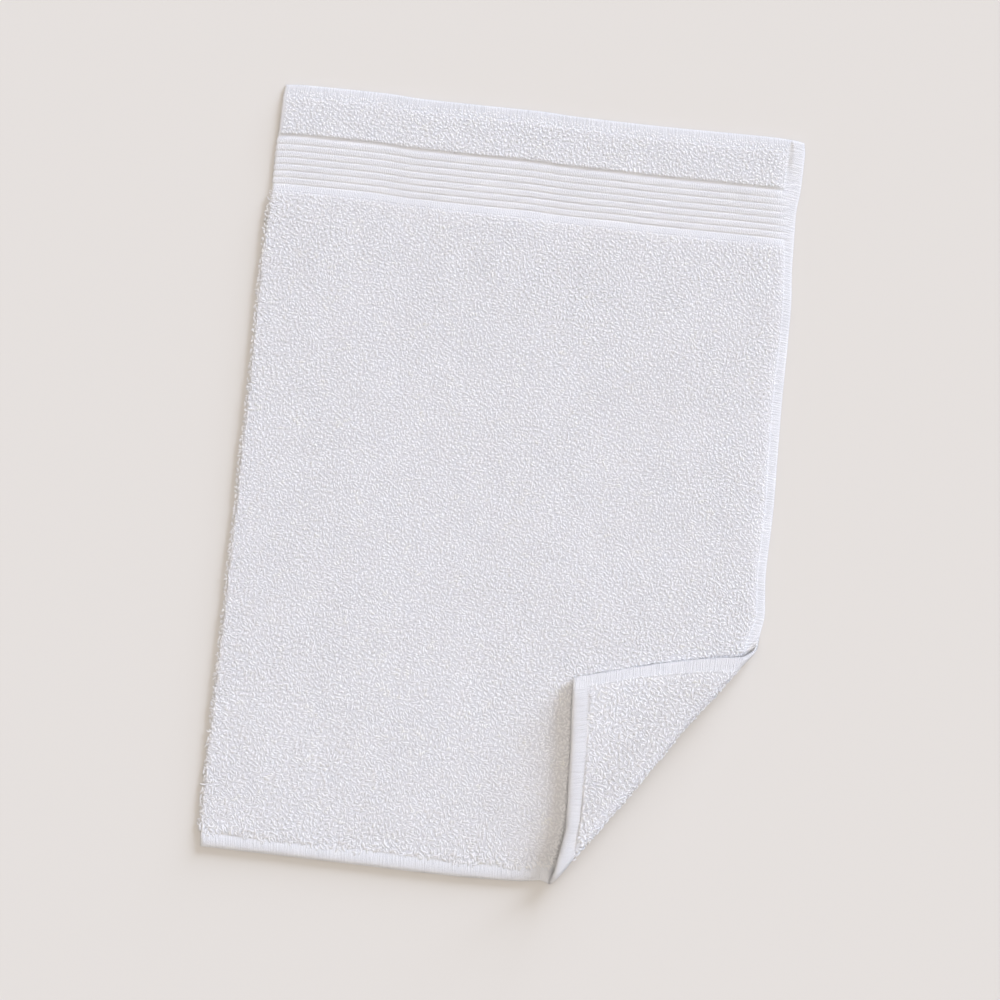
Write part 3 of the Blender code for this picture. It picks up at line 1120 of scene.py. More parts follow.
    def meshes(self, pile: Pile) -> list[bpy.types.Mesh]:
        """Make the meshes of all the loops of a pile.

        Args:
            pile: The pile.

        Returns:
            One mesh for each piece, with each loop's painted shade and light in the attribute
            loop_shade.
        """
        lots = self.set_down(pile)
        places = np.sort(np.concatenate([-strands.along for _, strands, _ in lots]))
        marks = [places[len(places) * k // pile.pieces] for k in range(1, pile.pieces)]
        draw = np.random.default_rng(pile.seed + 7)
        meshes = []
        for piece in range(pile.pieces):
            points, faces, shades, outward, used = [], [], [], [], 0
            for form, strands, plan in lots:
                chosen = np.searchsorted(marks, -strands.along, side="right") == piece
                placed, away = self.loops(pile, form, strands.pick(chosen), plan[chosen])
                count, size = placed.shape[:2]
                numbers = used + np.arange(count) * size
                faces.append((form.faces + numbers[:, None, None]).reshape(-1, 3))
                shade = self.shade(pile, form, strands.pick(chosen), plan[chosen], away, draw)
                shades.append(shade.ravel())
                points.append(placed.reshape(-1, 3))
                outward.append(away.reshape(-1, 3))
                used += count * size
            name = pile.name if pile.pieces == 1 else f"{pile.name}_{piece + 1}"
            mesh = triangle_mesh(name, np.concatenate(points), np.concatenate(faces))
            keep_on(mesh, "loop_shade", np.concatenate(shades))
            keep_on(mesh, "outward", np.concatenate(outward))
            LOG.info("%s: %d triangles", name, len(mesh.polygons))
            meshes.append(mesh)
        return meshes


@contextmanager
def edit_mode() -> Iterator[None]:
    """Edit the active object, with all of it selected, and leave edit mode afterwards.

    Yields:
        Nothing, while the object is in edit mode.
    """
    bpy.ops.object.mode_set(mode="EDIT")
    bpy.ops.mesh.select_all(action="SELECT")
    yield
    bpy.ops.object.mode_set(mode="OBJECT")


def read_points(mesh: bpy.types.Mesh) -> Array:
    """Read the coordinates of a mesh's vertices.

    Args:
        mesh: The mesh.

    Returns:
        One row for each vertex.
    """
    points = np.empty(len(mesh.vertices) * 3)
    mesh.vertices.foreach_get("co", points)
    return points.reshape(-1, 3)


def move_points(mesh: bpy.types.Mesh, points: Array) -> None:
    """Move a mesh's vertices to the coordinates in the rows of points."""
    mesh.vertices.foreach_set("co", points.astype(np.float32).ravel())


def keep_on(mesh: bpy.types.Mesh, name: str, values: Array) -> None:
    """Keep values on a mesh as an attribute of its vertices.

    Args:
        mesh: The mesh.
        name: Name of the attribute.
        values: For each vertex a number, or a row of three for a vector.
    """
    kind, field = ("FLOAT_VECTOR", "vector") if values.ndim > 1 else ("FLOAT", "value")
    attribute = mesh.attributes.new(name, kind, "POINT")
    attribute.data.foreach_set(field, values.astype(np.float32).ravel())


def triangle_mesh(name: str, points: Array, faces: Array) -> bpy.types.Mesh:
    """Make a smooth-shaded mesh of triangles.

    Args:
        name: Name of the mesh.
        points: One row of coordinates for each vertex.
        faces: Three vertex numbers for each triangle.

    Returns:
        The mesh.
    """
    mesh = bpy.data.meshes.new(name)
    mesh.vertices.add(len(points))
    move_points(mesh, points)
    mesh.loops.add(faces.size)
    mesh.loops.foreach_set("vertex_index", faces.astype(np.int32).ravel())
    mesh.polygons.add(len(faces))
    mesh.polygons.foreach_set("loop_start", np.arange(0, faces.size, 3, dtype=np.int32))
    mesh.update(calc_edges=True)
    mesh.shade_smooth()
    return mesh


def fill_marks(marks: "list[tuple[float, float]]") -> Array:
    """Fill the stretches between marks with evenly spaced lines.

    Args:
        marks: A place for each mark, and the widest spacing in the stretch before it.

    Returns:
        The places of all the lines.
    """
    lines = [np.array([marks[0][0]])]
    for (start, _), (end, spacing) in zip(marks, marks[1:]):
        steps = max(1, math.ceil((end - start) / spacing - 1e-6))
        lines.append(np.linspace(start, end, steps + 1)[1:])
    return np.concatenate(lines)


@dataclass(frozen=True)
class Ground:
    """The ground cloth: one closed sheet under the loops, with hems and ribs in relief.

    Attributes:
        lay: The lay of the cloth.
        name: Name of the piece.
        droop_width: Width of the flap's edge that droops on the face under it.
        pile_start: Arc past the fold's start at which the underside's loops begin.
        pile_run: Run over which the ground gives way to them.
        field_step: Distance between rows in the field.
        fine_step: Distance between rows where there is relief.
        rib_rows: Rows to a rib.
        field_columns: Columns over the terry.
        selvedge_columns: Columns over the selvedge.
        rim_columns: Columns over each rounded edge.
        roll_cut: Distance between cuts round the roll.
        landing_cut: Distance between cuts where the flap comes down.
        rim_width: Width of the very edge, whose soft relief is turned upwards.
        rim_up: How far it is.
        corner_up: How far the folded corner's is.
        flat: Width and length of the cloth as one flat layer; not used.
    """

    lay: Lay
    name: str = "ground_cloth"
    droop_width: float = 12 * MM
    pile_start: float = 1 * MM
    pile_run: float = 4 * MM
    field_step: float = 7 * MM
    fine_step: float = 1.6 * MM
    rib_rows: int = 8
    field_columns: int = 72
    selvedge_columns: int = 8
    rim_columns: int = 6
    roll_cut: float = 1.8 * MM
    landing_cut: float = 4 * MM
    rim_width: float = 0.1 * MM
    rim_up: float = 2.5
    corner_up: float = 6.0
    flat: tuple[float, float] = (508 * MM, 736 * MM)

    def rows(self) -> Array:
        """Space the grid's rows, closely where the cloth has relief.

        Returns:
            Their distances from the border end.
        """
        cloth = self.lay.cloth
        half = cloth.step / 2
        crest = cloth.ribs_end + cloth.rib_rise * cloth.rib_pitch
        return fill_marks([
            (0.0, 0.0), (cloth.rim, 0.7 * MM), (cloth.top_hem - half, self.fine_step),
            (cloth.top_hem + half, half), (cloth.header_end - half, 4 * MM),
            (cloth.header_end + half, half / 2), (cloth.ribs_start, self.fine_step),
            (cloth.ribs_end, cloth.rib_pitch / self.rib_rows), (crest, 0.4 * MM),
            (cloth.field_start, self.fine_step),
            (cloth.field_start + cloth.pile_rise, 1 * MM),
            (cloth.field_end - half, self.field_step), (cloth.field_end + half, half / 2),
            (cloth.length - cloth.rim, self.fine_step), (cloth.length, 0.7 * MM)])

    def grid(self) -> tuple[Array, Array]:
        """Places of the grid's points on the flat cloth.

        Returns:
            Places across and along the cloth, by row from the border end and by column
            from the left edge. The columns keep to the selvedge, which changes its width.
        """
        cloth = self.lay.cloth
        along = cloth.length / 2 - self.rows()
        inner = cloth.width - cloth.selvedge_width.at(along) - cloth.step / 2
        ones = np.ones_like(along)
        knots = np.stack([0 * ones, cloth.rim * ones, inner, inner + cloth.step,
                          (cloth.width - cloth.rim) * ones, cloth.width * ones], axis=1)
        lines = fill_marks([(0, 0), (1, 1 / self.rim_columns), (2, 1 / self.field_columns),
                            (3, 1 / 2), (4, 1 / self.selvedge_columns),
                            (5, 1 / self.rim_columns)])
        knot = np.minimum(lines.astype(int), knots.shape[1] - 2)
        share = lines - knot
        across = knots[:, knot] * (1 - share) + knots[:, knot + 1] * share
        return across - cloth.width / 2, np.repeat(along[:, None], len(lines), axis=1)

    def cuts(self) -> Array:
        """Space the cuts across the sheet, closely where it bends.

        Returns:
            Their arcs past the fold's start.
        """
        roll, fall, landing = (length for length, _ in self.lay.bends[:3])
        return fill_marks([(0.0, 0.0), (roll, self.roll_cut), (roll + fall, self.landing_cut),
                           (roll + fall + landing, self.landing_cut)])

    def drawn_sheet(self) -> bpy.types.Object:
        """Add the flat grid, draw it to the cloth's plan and cut it along the fold.

        Returns:
            The sheet, closed, with its lower face at level 0 and its upper face at 1.
        """
        across, along = self.grid()
        bpy.ops.object.select_all(action="DESELECT")
        bpy.ops.mesh.primitive_grid_add(x_subdivisions=across.shape[1] - 1,
                                        y_subdivisions=across.shape[0] - 1, size=1.0)
        sheet = bpy.context.object
        sheet.name = sheet.data.name = self.name
        points = read_points(sheet.data)
        column = np.rint((points[:, 0] + 0.5) * (across.shape[1] - 1)).astype(int)
        row = np.rint((0.5 - points[:, 1]) * (across.shape[0] - 1)).astype(int)
        across, along = across[row, column], along[row, column]
        keep_on(sheet.data, "cloth_place", np.stack([across, along, 0 * across], axis=-1))
        slid, arc = self.lay.plan(across, along)
        move_points(sheet.data, np.stack([slid, arc, 0 * arc], axis=-1))
        sheet.data.update()
        with edit_mode():
            for cut in self.cuts():
                bpy.ops.mesh.bisect(plane_co=(0.0, cut, 0.0), plane_no=(0.0, 1.0, 0.0),
                                    threshold=0.02 * MM)
                bpy.ops.mesh.select_all(action="SELECT")
            bpy.ops.mesh.quads_convert_to_tris()
            bpy.ops.mesh.extrude_region_move(
                TRANSFORM_OT_translate={"value": (0.0, 0.0, 1.0)})
        return sheet

    def face_offset(self, face: Face, across: Array, along: Array, arc: Array) -> Array:
        """Tell how high the sheet's face lies, without the loops.

        Args:
            face: The face.
            across: Places across the flat cloth.
            along: Places along it.
            arc: Arcs of the cloth's middle past the fold's start.

        Returns:
            Heights above the cloth's middle.
        """
        cloth = self.lay.cloth
        full = cloth.thickness(across, along)
        bare = cloth.thickness(across, along, cloth.pile_depth)
        if face is Face.UPPER:
            from_edge = np.minimum(cloth.width / 2 - across, along + cloth.length / 2)
            droop = ease(1.0 - from_edge / self.droop_width) * self.lay.turned(arc)
            return self.lay.offset(face, bare, arc) + self.lay.layer_gap * droop
        lift = ease((arc - self.pile_start) / self.pile_run)
        return self.lay.offset(face, full, arc) + (full - bare) * lift

    def build(self, finish: "WovenCotton") -> bpy.types.Object:
        """Make the sheet, lay it over the fold and dress it.

        Args:
            finish: The woven cloth's finish.

        Returns:
            The finished sheet.
        """
        sheet = self.drawn_sheet()
        mesh = sheet.data
        points = read_points(mesh)
        places = np.empty(len(points) * 3, dtype=np.float32)
        mesh.attributes["cloth_place"].data.foreach_get("vector", places)
        across, along = places.reshape(-1, 3)[:, :2].T.astype(float)
        slid, arc, level = points.T
        offset = np.where(level > 0.5,
                          self.face_offset(Face.UPPER, across, along, arc),
                          self.face_offset(Face.LOWER, across, along, arc))
        placed = self.lay.roll(slid, arc, offset)
        side = np.where(level > 0.5, MM, -MM)
        outward = (self.lay.roll(slid, arc, offset + side) - placed) / MM
        half, end = self.lay.cloth.width / 2, self.lay.cloth.length / 2
        rim = np.minimum(half - np.abs(across), end - np.abs(along)) < self.rim_width
        for here, lift in ((rim, self.rim_up),
                           (arc > PileMaker.LOWER_START, self.corner_up)):
            raised = np.maximum(outward[:, 2], 0.0) + lift
            outward[:, 2] = np.where(here, raised, outward[:, 2])
        move_points(mesh, placed)
        keep_on(mesh, "outward", outward)
        self.mark(mesh, across, along)
        with edit_mode():
            bpy.ops.mesh.normals_make_consistent(inside=False)
        mesh.shade_smooth()
        mesh.materials.append(finish.material())
        LOG.info("%s: %d faces", self.name, len(mesh.polygons))
        return sheet

    def mark(self, mesh: bpy.types.Mesh, across: Array, along: Array) -> None:
        """Keep on the mesh where its hems, selvedge, ribs and terry are, for the finish.

        Args:
            mesh: The sheet's mesh.
            across: Places of its vertices across the flat cloth.
            along: Their places along it.
        """
        cloth = self.lay.cloth
        place = cloth.length / 2 - along
        half = cloth.step / 2
        from_right = cloth.width / 2 - across
        selvedge = 1.0 - ease((from_right - cloth.selvedge_width.at(along)) / cloth.step + 0.5)
        hem = np.maximum(1.0 - ease((place - cloth.top_hem + half) / cloth.step),
                         ease((place - cloth.field_end + half) / cloth.step))
        ribs = ((place > cloth.ribs_start) & (place < cloth.field_start)).astype(float)
        header = (place > cloth.top_hem + 2 * MM) & (place < cloth.header_end - 2 * MM)
        field = (place > cloth.field_start + 2 * MM) & (place < cloth.field_end - 2 * MM)
        keep_on(mesh, "selvedge", selvedge)
        for name, zone in (("hem", hem), ("ribs", ribs), ("covered", header | field)):
            keep_on(mesh, name, zone * (1.0 - selvedge))


class Nodes:
    """A short way to add and link nodes in one tree."""

    def __init__(self, tree: bpy.types.NodeTree) -> None:
        """Keep the tree."""
        self.tree = tree

    def add(self, kind: str, links: "dict[str | int, object] | None" = None,
            **settings: object) -> bpy.types.Node:
        """Add a node.

        Args:
            kind: Its type, without the leading ShaderNode.
            links: For each input, by name or number, a socket to link or a value to set.
            settings: The node's own settings.

        Returns:
            The node.
        """
        prefix = "" if kind.startswith("Node") else "ShaderNode"
        node = self.tree.nodes.new(prefix + kind)
        for name, value in settings.items():
            setattr(node, name, value)
        self.feed(node, links or {})
        return node

    def feed(self, node: bpy.types.Node, links: "dict[str | int, object]") -> None:
        """Link or set a node's inputs.

        Args:
            node: The node.
            links: For each input, by name or number, a socket to link or a value to set.
        """
        for name, value in links.items():
            if isinstance(value, bpy.types.NodeSocket):
                self.tree.links.new(value, node.inputs[name])
            else:
                node.inputs[name].default_value = value

    def mix(self, share: bpy.types.NodeSocket, low: object, high: object,
            **settings: object) -> bpy.types.NodeSocket:
        """Mix two colours.

        Args:
            share: Share of the second.
            low: The first, as a socket or a value.
            high: The second.
            settings: The node's other settings.

        Returns:
            The mixed colour's socket.
        """
        return self.add("Mix", {0: share, 6: low, 7: high}, data_type="RGBA",
                        **settings).outputs[2]

    def math(self, operation: str, *values: object) -> bpy.types.NodeSocket:
        """Add an operation on sockets or numbers, and return its result's socket."""
        return self.add("Math", dict(enumerate(values)), operation=operation).outputs[0]

    def attribute(self, name: str, output: str = "Fac") -> bpy.types.NodeSocket:
        """Read one of the piece's attributes."""
        return self.add("Attribute", attribute_name=name).outputs[output]

    def noise(self, vector: bpy.types.NodeSocket, scale: float, detail: float = 2.0,
              stretch: "tuple[float, float, float]" = (1.0, 1.0, 1.0)) -> bpy.types.NodeSocket:
        """Add a noise.

        Args:
            vector: The place that it is read at.
            scale: Its scale.
            detail: Its detail.
            stretch: Scale along each axis, on top of that.

        Returns:
            The noise's socket.
        """
        if stretch != (1.0, 1.0, 1.0):
            vector = self.add("VectorMath", {0: vector, 1: stretch},
                              operation="MULTIPLY").outputs[0]
        noise = self.add("TexNoise", {"Vector": vector, "Scale": scale, "Detail": detail})
        return noise.outputs["Fac"]


class CottonFibre:
    """The fuzz and faint mottle of cotton, shared by the yarn and the woven cloth."""

    NAME = "cotton_fibre"

    @classmethod
    def group(cls) -> bpy.types.NodeTree:
        """Make the node group once.

        Returns:
            The group.
        """
        found = bpy.data.node_groups.get(cls.NAME)
        if found:
            return found
        tree = bpy.data.node_groups.new(cls.NAME, "ShaderNodeTree")
        face = tree.interface
        face.new_socket("Vector", in_out="INPUT", socket_type="NodeSocketVector")
        scale = face.new_socket("Fuzz Scale", in_out="INPUT", socket_type="NodeSocketFloat")
        scale.default_value = 2600.0
        mottle = face.new_socket("Mottle Scale", in_out="INPUT", socket_type="NodeSocketFloat")
        mottle.default_value = 28.0
        face.new_socket("Fuzz", in_out="OUTPUT", socket_type="NodeSocketFloat")
        face.new_socket("Mottle", in_out="OUTPUT", socket_type="NodeSocketFloat")
        nodes = Nodes(tree)
        given = nodes.add("NodeGroupInput").outputs
        fuzz = nodes.add("TexNoise", {"Vector": given["Vector"], "Scale": given["Fuzz Scale"],
                                      "Detail": 3.0, "Roughness": 0.6})
        mottle = nodes.add("TexNoise", {"Vector": given["Vector"],
                                        "Scale": given["Mottle Scale"], "Detail": 2.0})
        nodes.add("NodeGroupOutput", {"Fuzz": fuzz.outputs["Fac"],
                                      "Mottle": mottle.outputs["Fac"]})
        return tree


class SoftRelief:
    """Relief as cotton shows it: light scatters in the fibres, so slopes shade gently."""

    NAME = "soft_relief"

    @classmethod
    def group(cls) -> bpy.types.NodeTree:
        """Make the node group once.

        Returns:
            The group.
        """
        found = bpy.data.node_groups.get(cls.NAME)
        if found:
            return found
        tree = bpy.data.node_groups.new(cls.NAME, "ShaderNodeTree")
        face = tree.interface
        face.new_socket("Normal", in_out="INPUT", socket_type="NodeSocketVector")
        face.new_socket("Outward", in_out="INPUT", socket_type="NodeSocketVector")
        softness = face.new_socket("Softness", in_out="INPUT", socket_type="NodeSocketFloat")
        softness.default_value = 0.7
        face.new_socket("Normal", in_out="OUTPUT", socket_type="NodeSocketVector")
        nodes = Nodes(tree)
        given = nodes.add("NodeGroupInput").outputs
        mixed = nodes.add("Mix", {0: given["Softness"], 4: given["Normal"],
                                  5: given["Outward"]}, data_type="VECTOR")
        unit = nodes.add("VectorMath", {0: mixed.outputs[1]}, operation="NORMALIZE")
        nodes.add("NodeGroupOutput", {"Normal": unit.outputs[0]})
        return tree

    @classmethod
    def normal(cls, nodes: Nodes, softness: float) -> bpy.types.NodeSocket:
        """Put the group in a material.

        Args:
            nodes: The material's nodes.
            softness: Share of the cloth's direction outwards in the normal.

        Returns:
            The softened normal's socket.
        """
        group = nodes.add("Group", {"Normal": nodes.add("NewGeometry").outputs["Normal"],
                                    "Outward": nodes.attribute("outward", "Vector"),
                                    "Softness": softness}, node_tree=cls.group())
        return group.outputs["Normal"]


@dataclass(frozen=True)
class PileYarn:
    """Soft white cotton yarn of the loops.

    Attributes:
        name: Name of the material.
        shaded: Colour where the loops' shade is 0: painted shade.
        bright: Colour where it is 1: painted light.
        cream: Colour that is faintly mixed in, in patches.
        roughness: The shader's roughness.
        sheen: Weight of its sheen.
        sheen_roughness: Roughness of its sheen.
        specular: Level of its mirrored light.
        fuzz: Strength of the fibres' relief.
        softness: Share of the cloth's direction outwards in the normal.
    """

    name: str = "pile_yarn"
    shaded: tuple[float, float, float, float] = (0.636, 0.624, 0.637, 1.0)
    bright: tuple[float, float, float, float] = (0.911, 0.898, 0.918, 1.0)
    cream: tuple[float, float, float, float] = (0.86, 0.84, 0.79, 1.0)
    roughness: float = 0.95
    sheen: float = 0.12
    sheen_roughness: float = 0.6
    specular: float = 0.2
    fuzz: float = 0.25
    softness: float = 0.79

    def material(self) -> bpy.types.Material:
        """Make the material once.

        Returns:
            The material.
        """
        found = bpy.data.materials.get(self.name)
        if found:
            return found
        material, nodes, shader = new_material(self.name)
        place = nodes.add("TexCoord").outputs["Object"]
        fibre = nodes.add("Group", {"Vector": place, "Fuzz Scale": 2600.0,
                                    "Mottle Scale": 30.0}, node_tree=CottonFibre.group())
        shade = nodes.math("ADD", nodes.math("MULTIPLY", nodes.attribute("loop_shade"), 0.85),
                           nodes.math("MULTIPLY", fibre.outputs["Mottle"], 0.15))
        patch = nodes.add("MapRange", {0: nodes.noise(place, 95.0, 1.0), 1: 0.6, 2: 0.74,
                                       3: 0.0, 4: 0.4})
        # Painted shade and light: the loops' shade, with a faint random mottle, mixes the shaded
        # and the bright colour.
        colour = nodes.mix(shade, self.shaded, self.bright)
        colour = nodes.mix(patch.outputs[0], colour, self.cream)
        bump = nodes.add("Bump", {"Strength": self.fuzz, "Distance": 0.15 * MM,
                                  "Height": fibre.outputs["Fuzz"],
                                  "Normal": SoftRelief.normal(nodes, self.softness)})
        nodes.feed(shader, {"Base Color": colour, "Normal": bump.outputs[0],
                            "Roughness": self.roughness, "Sheen Weight": self.sheen,
                            "Sheen Roughness": self.sheen_roughness,
                            "Specular IOR Level": self.specular})
        return material


@dataclass(frozen=True)
class WovenCotton:
    """Close-woven white cotton of the hems, the selvedge, the ribs and the ground.

    Attributes:
        name: Name of the material.
        shaded: Darker colour of its mottle.
        bright: Lighter colour of its mottle.
        hem_tone: Tone of the hems over that.
        covered_gap_shade: Painted shade of the ground under the loops, where it shows between
            them, over that.
        roughness: The shader's roughness.
        sheen: Weight of its sheen.
        sheen_roughness: Roughness of its sheen.
        specular: Level of its mirrored light.
        thread: Distance between two threads of the weave.
        slant: Lengths across and along in which the ribs' slanting ticks repeat.
        stroke: Strength of the relief.
        softness: Share of the cloth's direction outwards in the normal.
    """

    name: str = "woven_cotton"
    shaded: tuple[float, float, float, float] = (0.717, 0.717, 0.75, 1.0)
    bright: tuple[float, float, float, float] = (0.78, 0.78, 0.82, 1.0)
    hem_tone: tuple[float, float, float, float] = (0.945, 0.945, 0.945, 1.0)
    covered_gap_shade: tuple[float, float, float, float] = (0.94, 0.925, 0.91, 1.0)
    roughness: float = 0.9
    sheen: float = 0.1
    sheen_roughness: float = 0.6
    specular: float = 0.2
    thread: float = 0.8 * MM
    slant: tuple[float, float] = (1.9 * MM, 6.35 * MM)
    stroke: float = 0.75
    softness: float = 0.75

    def material(self) -> bpy.types.Material:
        """Make the material: a fine weave, with strokes across the hems and the selvedge.

        Returns:
            The material.
        """
        material, nodes, shader = new_material(self.name)
        place = nodes.attribute("cloth_place", "Vector")
        parts = nodes.add("SeparateXYZ", {0: place}).outputs
        fibre = nodes.add("Group", {"Vector": place, "Fuzz Scale": 2600.0,
                                    "Mottle Scale": 34.0}, node_tree=CottonFibre.group())
        turn = 2 * math.pi / self.thread
        weave = nodes.math("MULTIPLY", nodes.math("SINE", nodes.math("MULTIPLY", parts[0], turn)),
                           nodes.math("SINE", nodes.math("MULTIPLY", parts[1], turn)))
        end_strokes = nodes.noise(place, 620.0, 1.0, (1.0, 0.1, 1.0))
        side_strokes = nodes.noise(place, 620.0, 1.0, (0.1, 1.0, 1.0))
        over, down = (2 * math.pi / length for length in self.slant)
        slant = nodes.math("ADD", nodes.math("MULTIPLY", parts[0], over),
                           nodes.math("MULTIPLY", parts[1], down))
        slant = nodes.math("MULTIPLY_ADD", nodes.noise(place, 330.0, 1.0), 16.0, slant)
        ticks = nodes.math("MULTIPLY_ADD", nodes.math("SINE", slant), 0.13, 0.5)
        height = nodes.math("MULTIPLY", weave, 0.12)
        for mask, strokes in (("hem", end_strokes), ("selvedge", side_strokes),
                              ("ribs", ticks)):
            height = nodes.math("MULTIPLY_ADD", strokes, nodes.attribute(mask), height)
        height = nodes.math("MULTIPLY_ADD", fibre.outputs["Fuzz"], 0.3, height)
        colour = nodes.mix(fibre.outputs["Mottle"], self.shaded, self.bright)
        # The hems get their own tone; the ground under the loops gets a painted shade, for the
        # gaps between them.
        for mask, tone in (("hem", self.hem_tone), ("covered", self.covered_gap_shade)):
            colour = nodes.mix(nodes.attribute(mask), colour, tone, blend_type="MULTIPLY")
        bump = nodes.add("Bump", {"Strength": self.stroke, "Distance": 0.4 * MM,
                                  "Height": height,
                                  "Normal": SoftRelief.normal(nodes, self.softness)})
        nodes.feed(shader, {"Base Color": colour, "Normal": bump.outputs[0],
                            "Roughness": self.roughness, "Sheen Weight": self.sheen,
                            "Sheen Roughness": self.sheen_roughness,
                            "Specular IOR Level": self.specular})
        return material


def new_material(name: str) -> "tuple[bpy.types.Material, Nodes, bpy.types.Node]":
    """Make a material with nodes.

    Args:
        name: Its name.

    Returns:
        The material, its nodes and its Principled shader.
    """
    material = bpy.data.materials.new(name)
    material.use_nodes = True
    return material, Nodes(material.node_tree), material.node_tree.nodes["Principled BSDF"]


@dataclass(frozen=True)
class Sun:
    """A light from far away, which gives a level surface the same light everywhere.

    Attributes:
        name: Its name.
        level: Light that it gives a white, level surface, by colour.
        angle: Width of its disc.
        elevation: Its height over the floor.
        azimuth: Its direction, turned from the picture's right.
    """

    name: str
    level: tuple[float, float, float]
    angle: float
    elevation: float = math.radians(90)
    azimuth: float = math.radians(42)

    def add(self, roll: float) -> bpy.types.Object:
        """Add the light.

        Args:
            roll: The picture's turn on the floor.

        Returns:
            The light.
        """
        turn = roll + self.azimuth
        level = math.cos(self.elevation)
        place = Vector((math.cos(turn) * level, math.sin(turn) * level,
                        math.sin(self.elevation)))
        light = bpy.data.lights.new(self.name, "SUN")
        light.angle = self.angle
        light.energy = math.pi / math.sin(self.elevation)
        light.color = self.level
        lamp = bpy.data.objects.new(self.name, light)
        lamp.location = place
        lamp.rotation_euler = (-place).to_track_quat("-Z", "Y").to_euler()
        bpy.context.collection.objects.link(lamp)
        return lamp


@dataclass(frozen=True)
class Studio:
    """A plain pale floor, soft light all round and from above, a low key, and the camera.

    The key is two lights of nearly one direction, one for the floor and one for the towel.

    Attributes:
        floor_size: Side of the floor.
        floor_colour: Its colour.
        floor_roughness: Its roughness.
        floor_specular: Level of its mirrored light.
        fill_colour: Colour of the light from all round.
        fill_strength: Its strength.
        glow: The light from above, which casts no shadow.
        floor_key: The key on the floor.
        towel_key: The key on the towel.
        view_centre: Place on the floor in the middle of the picture.
        view_roll: Turn of the picture on the floor.
        view_width: Width of the floor in the picture.
        view_height: Height of the camera.
        view_reach: Distance that it sees, for views from the side.
    """

    floor_size: float = 24.0
    floor_colour: tuple[float, float, float, float] = (0.677, 0.649, 0.630, 1.0)
    floor_roughness: float = 0.95
    floor_specular: float = 0.1
    fill_colour: tuple[float, float, float, float] = (1.0, 0.935, 0.857, 1.0)
    fill_strength: float = 0.30
    glow: Sun = Sun("glow", (0.535, 0.501, 0.458), math.radians(36))
    floor_key: Sun = Sun("floor_key", (0.30, 0.34, 0.405), math.radians(32),
                         math.radians(7.6), math.radians(53.5))
    towel_key: Sun = Sun("towel_key", (0.27, 0.315, 0.40), math.radians(24),
                         math.radians(9))
    view_centre: tuple[float, float] = (-6.5 * MM, -8.25 * MM)
    view_roll: float = math.radians(6.2)
    view_width: float = 0.96
    view_height: float = 2.6
    view_reach: float = 60.0

    def build(self, pieces: list[bpy.types.Object], cloth: bpy.types.Object) -> None:
        """Make the floor, the lights and the camera.

        The key shines through the loops, and the glow through everything, as light does
        in cotton.

        Args:
            pieces: All the pieces of the towel.
            cloth: The one that the key doesn't pass.
        """
        floor = self.add_floor()
        self.add_fill()
        self.glow.add(self.view_roll).data.use_shadow = False
        for key, lit, opaque in ((self.floor_key, [floor], [*pieces, floor]),
                                 (self.towel_key, pieces, [cloth])):
            linking = key.add(self.view_roll).light_linking
            linking.receiver_collection = self.group(f"{key.name}_lit", lit)
            linking.blocker_collection = self.group(f"{key.name}_opaque", opaque)
        self.add_camera()

    def add_floor(self) -> bpy.types.Object:
        """Lay the floor under the towel.

        Returns:
            The floor.
        """
        bpy.ops.object.select_all(action="DESELECT")
        bpy.ops.mesh.primitive_plane_add(size=self.floor_size)
        floor = bpy.context.object
        floor.name = "floor"
        material, nodes, shader = new_material("floor_paint")
        nodes.feed(shader, {"Base Color": self.floor_colour,
                            "Roughness": self.floor_roughness,
                            "Specular IOR Level": self.floor_specular})
        floor.data.materials.append(material)
        return floor

    def add_fill(self) -> None:
        """Light the scene softly from all round."""
        world = bpy.data.worlds.new("fill")
        bpy.context.scene.world = world
        world.use_nodes = True
        Nodes(world.node_tree).feed(
            world.node_tree.nodes["Background"],
            {"Color": self.fill_colour, "Strength": self.fill_strength})

    @staticmethod
    def group(name: str, members: list[bpy.types.Object]) -> bpy.types.Collection:
        """Gather objects in a collection.

        Args:
            name: Name of the collection.
            members: The objects.

        Returns:
            The collection.
        """
        collection = bpy.data.collections.new(name)
        for member in members:
            collection.objects.link(member)
        return collection

    def add_camera(self) -> None:
        """Look straight down at the towel, turned as the picture is."""
        camera = bpy.data.cameras.new("camera")
        camera.lens = camera.sensor_width * self.view_height / self.view_width
        camera.clip_end = self.view_reach
        viewer = bpy.data.objects.new("camera", camera)
        viewer.location = (*self.view_centre, self.view_height)
        viewer.rotation_euler = Euler((0.0, 0.0, self.view_roll))
        bpy.context.collection.objects.link(viewer)
        bpy.context.scene.camera = viewer


# Each zone's loops: those on top, shorter ones in their gaps, and a thick bed under both.
FIELD_COURSES = (
    Course((3.2 * MM, 6.4 * MM), 0.86 * MM, 1.52 * MM, 0.0, 2_400_000,
           curl=(1.0, 4.4)),
    Course((1.9 * MM, 3.6 * MM), 0.88 * MM, 1.42 * MM, 0.12 * MM, 1_600_000,
           bands=4, shared=True),
    Course((3.2 * MM, 5.6 * MM), 1.2 * MM, 1.75 * MM, 0.45 * MM, 1_300_000,
           bands=4, least_full=0.5))
HEADER_COURSES = (
    Course((3.0 * MM, 5.8 * MM), 0.84 * MM, 1.52 * MM, -0.1 * MM, 2_600_000,
           curl=(1.4, 4.8)),
    Course((1.9 * MM, 3.2 * MM), 0.84 * MM, 1.4 * MM, 0.0, 1_600_000,
           bands=4, shared=True),
    Course((3.0 * MM, 5.0 * MM), 1.15 * MM, 1.7 * MM, 0.35 * MM, 1_300_000,
           bands=4, least_full=0.5))
